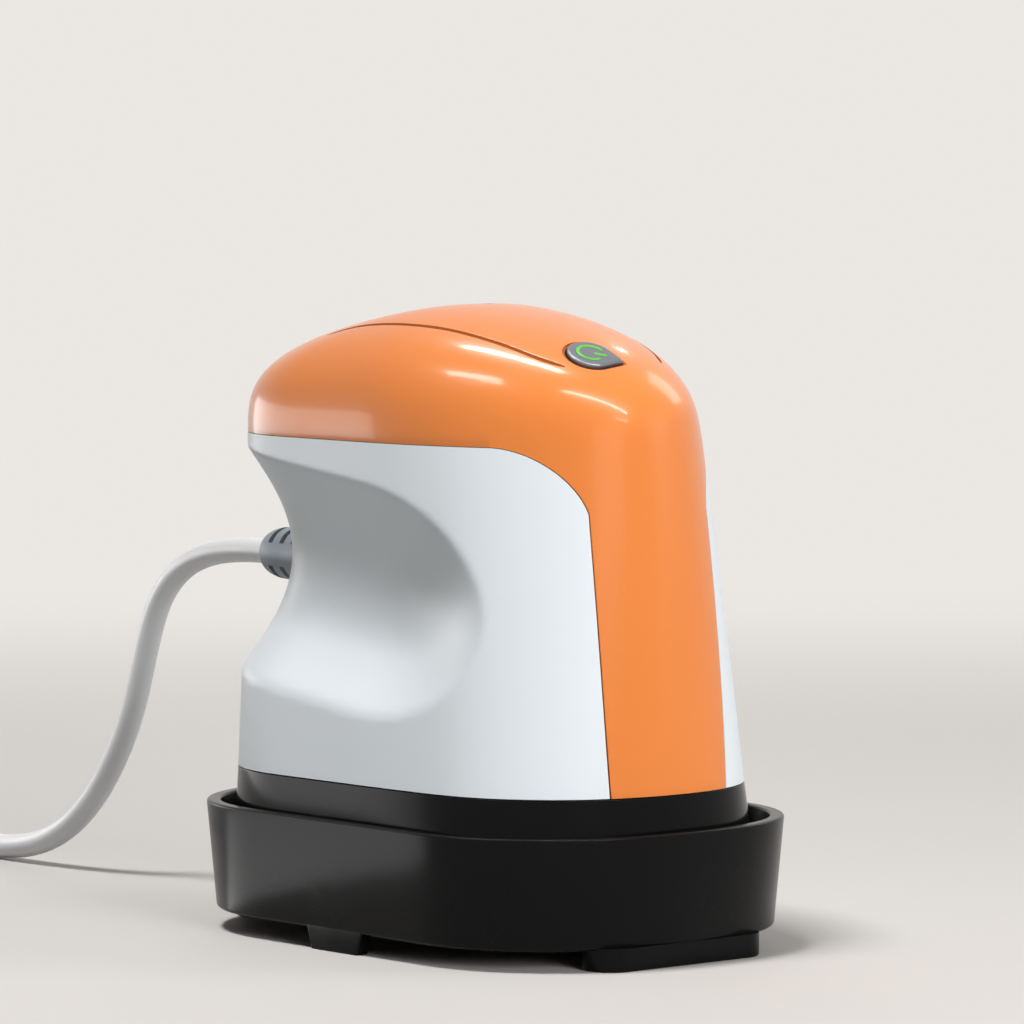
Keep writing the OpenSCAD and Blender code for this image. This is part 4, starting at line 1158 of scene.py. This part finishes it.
@dataclass(frozen=True)
class PowerButton:
    """Drop-shaped button on the dome's front slope, with its lit power symbol."""

    at: tuple[float, float, float] = (-5.8, -38.3, 125.2)
    tilt_deg: tuple[float, float] = (26.0, -8.4)
    turn_deg: float = -45.0
    radius: float = 5.0
    proud: float = 0.5
    recess_w: float = 0.9
    recess_depth: float = 0.5
    running_gap: float = 0.3
    symbol_r: float = 2.8
    symbol_w: float = 0.75
    symbol_open_deg: float = 38.0
    symbol_bar: tuple[float, float] = (0.25, 1.25)
    symbol_up: float = 0.10
    symbol_half_t: float = 0.14
    symbol_end: float = 0.06
    tip_round: float = 0.7
    tip_share: float = 0.14
    edge_r: float = 0.5
    crown: float = 0.12
    cap_rows: tuple[float, ...] = (0.85, 0.6, 0.35, 0.12)
    hole_z: tuple[float, float] = (-8.0, 4.0)
    recess_r: float = 0.25
    circle_points: int = 73
    tip_points: int = 9
    edge_rows: int = 7
    ring_points: int = 60
    bar_points: int = 20
    strip_sides: int = 12
    strip_least: float = 0.02

    def frame_matrix(self) -> np.ndarray:
        """Return the turn from the button's own frame to the row frame: about X, then about Y."""
        about_x, about_y = (math.radians(angle) for angle in self.tilt_deg)
        return turned(1, about_y) @ turned(0, about_x)

    def drop(self, radius: float, tip_round: float) -> np.ndarray:
        """Return the drop outline: three quarters of a circle and a square corner.

        Args:
            radius: Radius of the circle.
            tip_round: Radius of the corner's rounding.

        Returns:
            Points (n, 2), counter-clockwise.
        """
        angle = np.radians(np.linspace(45, 315, self.circle_points))
        circle = radius * np.stack([np.cos(angle), np.sin(angle)], axis=1)
        reach = radius * math.sqrt(2)
        half = math.pi / 4
        centre = reach - tip_round / math.sin(half)
        round_a = np.radians(np.linspace(-45, 45, self.tip_points))
        tip = np.stack([centre + tip_round * np.cos(round_a), tip_round * np.sin(round_a)], axis=1)
        line = np.vstack([circle, tip])
        return line @ turned(2, math.radians(self.turn_deg))[:2, :2].T

    def stacked(self, rows: list[tuple[float, float]]) -> Surface:
        """Return drops of given radii at given heights, joined and closed, in the row frame."""
        drops = [(self.drop(radius, min(self.tip_round, radius * self.tip_share)), z) for radius, z in rows]
        rings = np.stack([spread_out(line[:, 0], line[:, 1], z) for line, z in drops])
        low, high = np.array([0, 0, rows[0][1]]), np.array([0, 0, rows[-1][1]])
        return capped(rings, low, high).placed(self.frame_matrix(), self.at)

    def recess_cutters(self) -> list[Surface]:
        """Return the solids that cut the running hole and the shallow recess."""
        hole = self.radius + self.running_gap
        rim = self.radius + self.recess_w
        low, high = self.hole_z
        return [self.stacked([(hole, low), (hole, high)]),
                self.stacked([(rim - self.recess_r, -self.recess_depth),
                              (rim, self.recess_r - self.recess_depth), (rim, high)])]

    def cap(self) -> Surface:
        """Return the cap with a rolled edge and a slightly domed top."""
        roll = np.radians(np.linspace(0, 90, self.edge_rows))
        edge = self.edge_r
        rows = [(self.radius, self.hole_z[0] / 2)] + [
            (self.radius - edge * (1 - math.cos(a)), self.proud - edge + edge * math.sin(a)) for a in roll]
        top = self.radius - edge
        rows += [(top * share, self.proud + self.crown * (1 - share * share)) for share in self.cap_rows]
        return self.stacked(rows)

    def symbol(self) -> Surface:
        """Return the power symbol: an open ring and a bar in its gap, as low rounded strips."""
        open_half = math.radians(self.symbol_open_deg)
        toward = math.radians(self.turn_deg)
        angle = np.linspace(toward + open_half, toward + 2 * math.pi - open_half, self.ring_points)
        z = self.proud + self.symbol_up
        ring = spread_out(self.symbol_r * np.cos(angle), self.symbol_r * np.sin(angle), z)
        along = np.linspace(*(share * self.symbol_r for share in self.symbol_bar), self.bar_points)
        bar = spread_out(along * math.cos(toward), along * math.sin(toward), z)
        strips = []
        for path in (ring, bar):
            ends = 1 - np.abs(np.linspace(-1, 1, len(path)))
            end = np.sqrt(np.clip(ends / self.symbol_end, self.strip_least, 1))
            strips.append(tube(path, end * self.symbol_w / 2, end * self.symbol_half_t, self.strip_sides))
        return merged(strips).placed(self.frame_matrix(), self.at)

    def build(self) -> list[bpy.types.Object]:
        """Build the cap and the symbol."""
        return [
            Piece("button_cap", self.cap(), BUTTON_SILVER, "button_silver", Body.BUTTON,
                  ("power_button",)).build(),
            Piece("button_symbol", self.symbol(), LIGHT_GREEN, "light_green", Body.BUTTON,
                  ("button_light",), sharp_deg=60).build()]


# ---------------------------------------------------------------- skirt, plate and tray


def swept_round(profile: np.ndarray, columns: int) -> Surface:
    """Carry a profile of outset and height round the pressing outline, and close its ends at the axis."""
    turn = -np.linspace(0, 4, columns, endpoint=False)[None, :]
    points = BODY.outline.grown(turn, profile[:, :1], profile[:, 1:])
    return capped(points, np.array([0, 0, profile[0, 1]]), np.array([0, 0, profile[-1, 1]]))


@dataclass(frozen=True)
class Skirt:
    """Glossy skirt between the plate and the housing, with its inner ledge."""

    wall: float = 2.4
    ledge_w: float = 11.0
    ledge_z: float = 14.8
    ledge_t: float = 2.2
    edge_r: float = 0.3
    rim_r: float = 0.25
    foot_r: float = 0.45
    inner_foot_r: float = 0.4
    columns: int = 240

    def build(self) -> bpy.types.Object:
        """Build the skirt: its outer face runs straight from the pressing outline to the housing's foot.

        Returns:
            The skirt.
        """
        top = BODY.skirt_h
        low, high, edge = self.ledge_z, self.ledge_z + self.ledge_t, self.edge_r
        inner, ledge = -self.wall, -self.wall - self.ledge_w
        profile = filleted([
            (0, 0, self.foot_r), (0, top, self.rim_r), (inner, top, self.rim_r), (inner, high, edge),
            (ledge, high, edge), (ledge, low, edge), (inner, low, edge), (inner, 0, self.inner_foot_r)],
            closed=True, steps=4)
        turn = -np.linspace(0, 4, self.columns, endpoint=False)[None, :]
        z = profile[:, 1:]
        foot = BODY.outline.grown(turn, profile[:, :1], z)
        head_x, head_y = BODY.ring(turn, np.full((1, 1), top))
        head = spread_out(head_x * (1 + profile[:, :1] / BODY.side_w),
                          head_y * (1 + profile[:, :1] / BODY.front_l), z)
        share = (z / top)[..., None]
        points = foot * (1 - share) + head * share + np.array([0, 0, BODY.low_z])
        return Piece("skirt_shell", grid_surface(points, True, True), PIANO_BLACK, "gloss_black", Body.PRESS,
                     ("skirt",)).build()


@dataclass(frozen=True)
class HeatingPlate:
    """Cast plate with a coated pressing face, and the island on its back."""

    low_z: float = 11.1
    thick: float = 3.6
    inset: float = 0.1
    edge_r: float = 1.1
    island_in: float = 11.0
    island_h: float = 4.5
    middle_x: float = 12.0
    island_middle_x: float = 18.0
    columns: int = 240

    def build(self) -> bpy.types.Object:
        """Build the plate as one closed profile round the pressing outline."""
        top = self.low_z + self.thick
        profile = filleted([
            (-self.middle_x, self.low_z, 0), (-self.inset, self.low_z, self.edge_r), (-self.inset, top, 0.3),
            (-self.island_in, top, 0.6), (-self.island_in - 1, top + self.island_h, 0.5),
            (-self.island_middle_x, top + self.island_h, 0)], steps=5)
        return Piece("plate_casting", swept_round(profile, self.columns), PLATE_COAT, "plate_coated",
                     Body.PRESS, ("heating_plate",)).build()


@dataclass(frozen=True)
class ParkingTray:
    """Heat-safe tray with two bar feet, two side tabs and four soft pads."""

    foot_h: float = 4.4
    rim_z: float = 27.8
    floor_z: float = 6.6
    outer_low: float = 3.2
    outer_high: float = 5.1
    wall: float = 2.7
    bar_half_w: float = 22.6
    bar_r: float = 6.0
    tab_half: float = 9.3
    tab_slope: float = 1.7
    tab_t: float = 3.1
    tab_edge_r: float = 0.35
    foot_edge_r: float = 0.45
    middle_x: float = 14.0
    columns: int = 280
    pad_xy: tuple[tuple[float, float], ...] = ((20, 46), (20, -46), (-20, -46), (-20, 46))
    pad_r: float = 5.0
    pad_h: float = 4.2
    pad_edge_r: float = 0.9
    pad_sides: int = 48
    bar_points: int = 25
    tab_reach: float = 6.0

    def basin(self) -> Surface:
        """Return the basin: floor, leaning wall and rounded rim."""
        profile = filleted([
            (-self.middle_x, self.foot_h, 0), (self.outer_low, self.foot_h, 0.9),
            (self.outer_high, self.rim_z, 0.55), (self.outer_high - self.wall, self.rim_z, 0.55),
            (self.outer_low - self.wall, self.floor_z, 1.6),
            (-self.middle_x, self.floor_z, 0)], steps=6)
        return swept_round(profile, self.columns)

    def prism(self, line: np.ndarray, low: float, high: float) -> Surface:
        """Return a flat-ended solid over a closed plan line, its lower edge rolled.

        Args:
            line: Points (n, 2), counter-clockwise.
            low: Lower height.
            high: Upper height.

        Returns:
            The closed surface.
        """
        centre = line.mean(axis=0)
        ahead = np.roll(line, -1, axis=0) - np.roll(line, 1, axis=0)
        out = np.stack([ahead[:, 1], -ahead[:, 0]], axis=1)
        out /= np.linalg.norm(out, axis=1, keepdims=True)
        rows = [(inset, low + depth) for inset, depth in rolled_edge(self.foot_edge_r)] + [(0.0, high)]
        lines = [(line - out * inset, z) for inset, z in rows]
        rings = np.stack([spread_out(ring[:, 0], ring[:, 1], z) for ring, z in lines])
        return capped(rings, np.array([*centre, low]), np.array([*centre, high]))

    def bar_foot(self) -> Surface:
        """Return the front bar foot: two half circles joined by straight sides."""
        half = np.linspace(-math.pi / 2, math.pi / 2, self.bar_points)
        end = self.bar_r * np.stack([np.cos(half), np.sin(half)], axis=1) + [self.bar_half_w - self.bar_r, 0]
        line = np.vstack([end, -end]) - [0, BODY.outline.half_l + self.outer_low - self.bar_r]
        return self.prism(line, 0.0, self.foot_h + 0.5)

    def side_tab(self) -> Surface:
        """Return the +X side tab, flush with the tray's wall and narrower at its foot."""
        out = BODY.outline.half_w + self.outer_low
        foot = self.tab_half - self.tab_slope
        outer = filleted([(-self.tab_half, self.foot_h + 1, 0), (-foot, 0, 0.5), (foot, 0, 0.5),
                          (self.tab_half, self.foot_h + 1, 0)], steps=4)
        edge = self.tab_edge_r
        rows = [(inset, out - depth) for inset, depth in rolled_edge(edge)]
        rows += [(0.0, out - self.tab_t + edge), (edge, out - self.tab_t)]
        centre = outer.mean(axis=0)
        scale = [1 - inset / self.tab_reach for inset, _ in rows]
        rings = np.stack([np.column_stack([np.full(len(outer), x), centre + (outer - centre) * s])
                          for s, (_, x) in zip(scale, rows)])[::-1]
        return capped(rings, np.array([rows[-1][1], *centre]), np.array([rows[0][1], *centre]))

    def build(self) -> list[bpy.types.Object]:
        """Build the tray with its feet, and the pads."""
        half_turn = np.diag([-1.0, -1.0, 1.0])
        feet = [turned_foot for foot in (self.bar_foot(), self.side_tab())
                for turned_foot in (foot, foot.placed(half_turn, (0, 0, 0)))]
        tray = Piece("tray_basin", merged([self.basin(), *feet]), TRAY_BLACK, "tray_black", Body.BASE,
                     ("base_tray",)).build()
        profile = filleted([(0, 0, 0), (self.pad_r, 0, 0), (self.pad_r, self.pad_h, self.pad_edge_r),
                            (0, self.pad_h, 0)])
        pads = merged([revolved(profile, self.pad_sides).placed(np.eye(3), (x, y, self.floor_z))
                       for x, y in self.pad_xy])
        return [tray, Piece("stand_off_pads", pads, PAD_GREY, "pad_rubber", Body.BASE,
                            ("tray_pads",)).build()]


# ---------------------------------------------------------------- mains lead


@dataclass(frozen=True)
class MainsLead:
    """Strain relief, lead, coil, tie and plug."""

    diameter: float = 5.5
    exit_z: float = 77.7
    gland_end_y: float = 75.4
    gland_wall_y: float = 48.9
    gland_r: float = 5.8
    gland_dome: float = 7.0
    slot_w: float = 1.5
    slot_pitch: float = 4.0
    slot_depth: float = 2.0
    coil_mid: tuple[float, float] = (-42.0, 232.0)
    coil_r: float = 41.0
    coil_gap: float = 0.45
    coil_turns: float = 3.25
    plug_in: float = 4.5
    plug_ahead: float = 44.0
    tie_t: float = 0.8
    tie_w: float = 6.0
    tie_turn_deg: float = 60.0
    plug_l: float = 24.0
    relief_l: float = 11.0
    plug_w: float = 35.3
    plug_t: float = 13.7
    pin_r: float = 2.0
    pin_l: float = 19.0
    pin_pitch: float = 18.6
    sleeve_l: float = 9.5
    sleeve_in: float = 0.15
    lift_off: float = 0.1
    first_slot: float = 5.7
    slot_edge: float = 0.06
    slot_half_deg: float = 62.0
    slot_turn_edge: float = 0.03
    gland_room: float = 0.35
    tie_room: float = 0.4
    tie_head: float = 0.2
    tie_corner: tuple[float, float] = (1.2, 2.0)
    swell_l: float = 11.0
    square: float = 1.1
    tip_room: float = 0.9
    tip_grow: float = 1.1
    face_edge: float = 1.2
    face_in: tuple[float, float] = (0.035, 0.07)
    rib_depth: float = 0.35
    rib_pitch: float = 2.6
    lead_sides: int = 24
    slots: int = 5
    gland_rows: tuple[int, int] = (30, 26)
    plug_rows: tuple[int, int] = (34, 40)
    around_points: int = 96
    last_rows: int = 20
    last_straight: float = 2.5
    pin_sides: int = 40
    pin_tip_r: float = 1.7
    pin_hidden: float = 0.2
    sleeve_edge_r: float = 0.15
    sleeve_hidden: float = 0.5

    def route(self) -> np.ndarray:
        """Return the free stretch, from the strain relief down to the start of the coil."""
        start = self.gland_end_y - 1
        rise = self.diameter / 2 + self.tie_t + self.lift_off
        return np.array([
            (0, start, self.exit_z), (0, start + 6.5, self.exit_z), (0, 89, 77.3), (0, 97, 76.2),
            (0, 104.8, 73.8), (0, 110.5, 70.6), (0, 115, 66.4), (0, 118.2, 61.4), (0, 120.6, 55.6),
            (0, 123.5, 47), (0, 127.4, 37), (0, 133, 27.5), (0, 140.8, 18), (0, 150.6, 10.2), (0, 162, 5.2),
            (0, 174, 3.1), (0, 187, 2.9), (-0.3, 200, 2.9), (-0.8, 213, 3.3),
            (self.coil_mid[0] + self.coil_r, self.coil_mid[1] - self.diameter, rise)])

    def coil(self, per_turn: int = 96) -> np.ndarray:
        """Return the coil and its last stretch into the plug.

        The radius falls by one pitch a turn on the lower layer and grows again on the upper one; the height
        changes by one pitch in the half turn where the spiral turns back.

        Args:
            per_turn: Points in a turn.

        Returns:
            Points (n, 3).
        """
        pitch = self.diameter + self.coil_gap
        total = 2 * self.coil_turns
        low = self.diameter / 2 + self.tie_t + self.lift_off
        turns = np.linspace(0, total, int(total * per_turn) + 1)
        radius = self.coil_r - pitch * np.minimum(turns, total - turns)
        climb = np.clip((turns - self.coil_turns + 0.25) / 0.5, 0, 1)
        angle = 2 * math.pi * turns
        wound = spread_out(self.coil_mid[0] + radius * np.cos(angle),
                           self.coil_mid[1] + radius * np.sin(angle), low + pitch * eased(climb))
        plug = self.plug_at()
        share = np.linspace(0, 1, self.last_rows)[1:, None]
        ease = eased(share)
        last = wound[-1] + (plug + [0, self.diameter, 0] - wound[-1]) * np.hstack([ease, share, ease])
        return np.vstack([wound, last, plug + [[0, self.last_straight, 0], [0, 0, 0]]])

    def plug_at(self) -> np.ndarray:
        """Return the point where the lead enters the plug, a little inwards of the coil's edge."""
        return np.array([self.coil_mid[0] - self.coil_r + self.plug_in, self.coil_mid[1] - self.plug_ahead,
                         self.plug_t / 2])

    def lead_path(self) -> np.ndarray:
        """Return the whole lead's middle line."""
        return np.vstack([smooth_path(self.route(), 2.0)[:-1], self.coil()])

    def build_lead(self) -> bpy.types.Object:
        """Build the lead as one tube along its whole path; it is tied to no body.

        Returns:
            The lead.
        """
        path = self.lead_path()
        radius = np.full(len(path), self.diameter / 2)
        made = Piece("mains_lead", tube(path, radius, radius, self.lead_sides), CORD_WHITE, "cord_white",
                     None, ("cord", "cord_coil"), sharp_deg=50).build()
        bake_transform(made)
        return made

    def strain_relief(self) -> Surface:
        """Return the strain relief: a round sleeve with a domed end, slotted above and below.

        The radius is a profile along Y, less the slots, which are arcs that leave a bridge on each side.

        Returns:
            The closed surface.
        """
        end, wall = self.gland_end_y, self.gland_wall_y
        dome = end - self.gland_dome
        lead = self.diameter / 2
        centres = end - self.first_slot - self.slot_pitch * np.arange(self.slots)
        half_w, edge = self.slot_w / 2, self.slot_edge
        edges = (centres[:, None] + [-half_w - edge, edge - half_w, half_w - edge, half_w + edge]).ravel()
        y = np.unique(np.concatenate([
            np.linspace(wall, dome, self.gland_rows[0]), np.linspace(dome, end, self.gland_rows[1]),
            edges[edges > wall]]))
        over = np.clip((y - dome) / self.gland_dome, 0, 1)
        inner = lead + self.gland_room
        radius = inner + (self.gland_r - inner) * np.sqrt(np.maximum(1 - over**2, 0))
        in_slot = np.clip((half_w + edge - np.abs(y[:, None] - centres)) / (2 * edge), 0, 1).max(axis=1)
        half, soft = math.radians(self.slot_half_deg), self.slot_turn_edge
        marks = np.array([-half - soft, soft - half, half - soft, half + soft])
        turn = np.unique(np.concatenate([full_turn(self.around_points)] + [
            np.mod(marks + side * math.pi / 2, 2 * math.pi) for side in (1, -1)]))
        from_top = np.abs(np.angle(np.exp(2j * (turn - math.pi / 2)))) / 2
        open_here = np.clip((half + soft - from_top) / (2 * soft), 0, 1)
        floor = np.maximum(radius - self.slot_depth, lead + 0.25)
        reach = radius[:, None] + (floor - radius)[:, None] * in_slot[:, None] * open_here[None, :]
        points = spread_out(-reach * np.cos(turn), y[:, None], self.exit_z + reach * np.sin(turn))
        return capped(points, np.array([0, wall, self.exit_z]), np.array([0, end, self.exit_z]))

    def tie(self) -> Surface:
        """Return the tie: a flat strap round the bundle, a closed band with rounded corners."""
        pitch = self.diameter + self.coil_gap
        inner = self.coil_r - pitch * self.coil_turns - self.diameter / 2 - 1
        outer = self.coil_r + self.diameter / 2 + self.tie_room
        top = self.diameter + self.tie_t + self.lift_off + pitch + self.tie_head
        hole, skin = (filleted([(inner - t, low, r), (outer + t, low, r), (outer + t, top + t, r),
                                (inner - t, top + t, r)], closed=True)
                      for t, low, r in ((0.0, self.tie_t, self.tie_corner[0]),
                                        (self.tie_t, 0.0, self.tie_corner[1])))
        half = self.tie_w / 2
        rows = [(hole, -half), (hole, half), (skin, half), (skin, -half)]
        rings = np.stack([spread_out(line[:, 0], w, line[:, 1]) for line, w in rows])
        spin = turned(2, math.radians(self.tie_turn_deg))
        return grid_surface(rings, True, True).placed(spin, (*self.coil_mid, 0.0))

    def plug(self) -> Surface:
        """Return the plug: a ribbed relief that swells into a flat body with a level face.

        Each row is a superellipse whose half sizes and squareness change along the plug.

        Returns:
            The closed surface, along +Z from the lead's entry.
        """
        whole = self.relief_l + self.plug_l
        run = np.concatenate([np.linspace(0, self.relief_l, self.plug_rows[0]),
                              np.linspace(self.relief_l, whole, self.plug_rows[1])[1:]])
        swell = eased(np.clip((run - self.relief_l) / self.swell_l, 0, 1))
        wave = np.sign(np.sin(run * 2 * math.pi / self.rib_pitch))
        rib = self.rib_depth * (0.5 + 0.5 * wave) * (run < self.relief_l - 1)
        tip = self.diameter / 2 + self.tip_room + self.tip_grow * np.clip(run / self.relief_l, 0, 1) - rib
        close = np.clip((whole - run) / self.face_edge, 0, 1)
        close = np.sqrt(1 - (1 - close) ** 2)
        wide = (tip + (self.plug_w / 2 - tip) * swell) * (1 - self.face_in[0] * (1 - close))
        high = (tip + (self.plug_t / 2 - tip) * swell) * (1 - self.face_in[1] * (1 - close))
        power = 2 + self.square * swell
        turn = full_turn(self.around_points)[None, :]
        c, s = np.cos(turn), np.sin(turn)
        x = wide[:, None] * np.sign(c) * np.abs(c) ** (2 / power[:, None])
        y = high[:, None] * np.sign(s) * np.abs(s) ** (2 / power[:, None])
        return capped(spread_out(x, y, run[:, None]), np.array([0, 0, 0.0]), np.array([0, 0, whole]))

    def build_ends(self) -> list[bpy.types.Object]:
        """Build the strain relief, the tie, the plug and its pins."""
        x, y, z = self.plug_at()
        lying = np.array([[1.0, 0, 0], [0, 0, -1.0], [0, 1.0, 0]])
        face = self.relief_l + self.plug_l
        wide = self.pin_r - self.sleeve_in
        low = -self.sleeve_hidden
        sleeve = filleted([(0, low, 0), (wide, low, 0), (wide, self.sleeve_l, self.sleeve_edge_r),
                           (0, self.sleeve_l, 0)])
        low = self.sleeve_l - self.pin_hidden
        pin = filleted([(0, low, 0), (self.pin_r, low, 0), (self.pin_r, self.pin_l, self.pin_tip_r),
                        (0, self.pin_l, 0)])
        shifts = [(side * self.pin_pitch, 0, face) for side in (-0.5, 0.5)]
        sleeves, pins = ([revolved(profile, self.pin_sides).placed(np.eye(3), shift) for shift in shifts]
                         for profile in (sleeve, pin))
        body = merged([self.plug(), *sleeves])
        return [
            Piece("strain_relief", self.strain_relief(), GLAND_GREY, "gland_grey", Body.PRESS,
                  ("cord_gland",), sharp_deg=40).build(),
            Piece("coil_tie", self.tie(), CORD_WHITE, "tie_white", Body.BASE, ("cord_tie",)).build(),
            Piece("plug_moulding", body.placed(lying, (x, y, z)), CORD_WHITE, "cord_white", Body.BASE,
                  ("plug_body",), sharp_deg=50).build(),
            Piece("plug_pin_pair", merged(pins).placed(lying, (x, y, z)), NICKEL, "pin_nickel", Body.BASE,
                  ("plug_pins",)).build()]


# ---------------------------------------------------------------- assembly


def dress_packed_nodes() -> None:
    """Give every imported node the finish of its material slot."""
    slots = {part["node"]: part["material_slot"] for part in frame["record"]["subparts"]}
    for name, node in frame["nodes"].items():
        finish = SLOT_FINISHES[slots[name]]
        node.data.materials.clear()
        node.data.materials.append(finish.material())
        LOG.info("dressed %s with %s", name, finish.name)


def main() -> None:
    """Build the scene: camera and lead first, then the press, its tray and the room."""
    logging.basicConfig(level=logging.INFO, format="%(name)s: %(message)s")
    studio = Studio()
    studio.add_camera()
    lead = MainsLead()
    cord = lead.build_lead()
    ends = lead.build_ends()
    path = lead.lead_path()
    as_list(ends[1:])
    dress_packed_nodes()
    button = PowerButton()
    button.build()
    TopCover().build(button)
    Housing().build()
    Skirt().build()
    HeatingPlate().build()
    ParkingTray().build()
    studio.add_room()


if __name__ == "__main__":
    main()
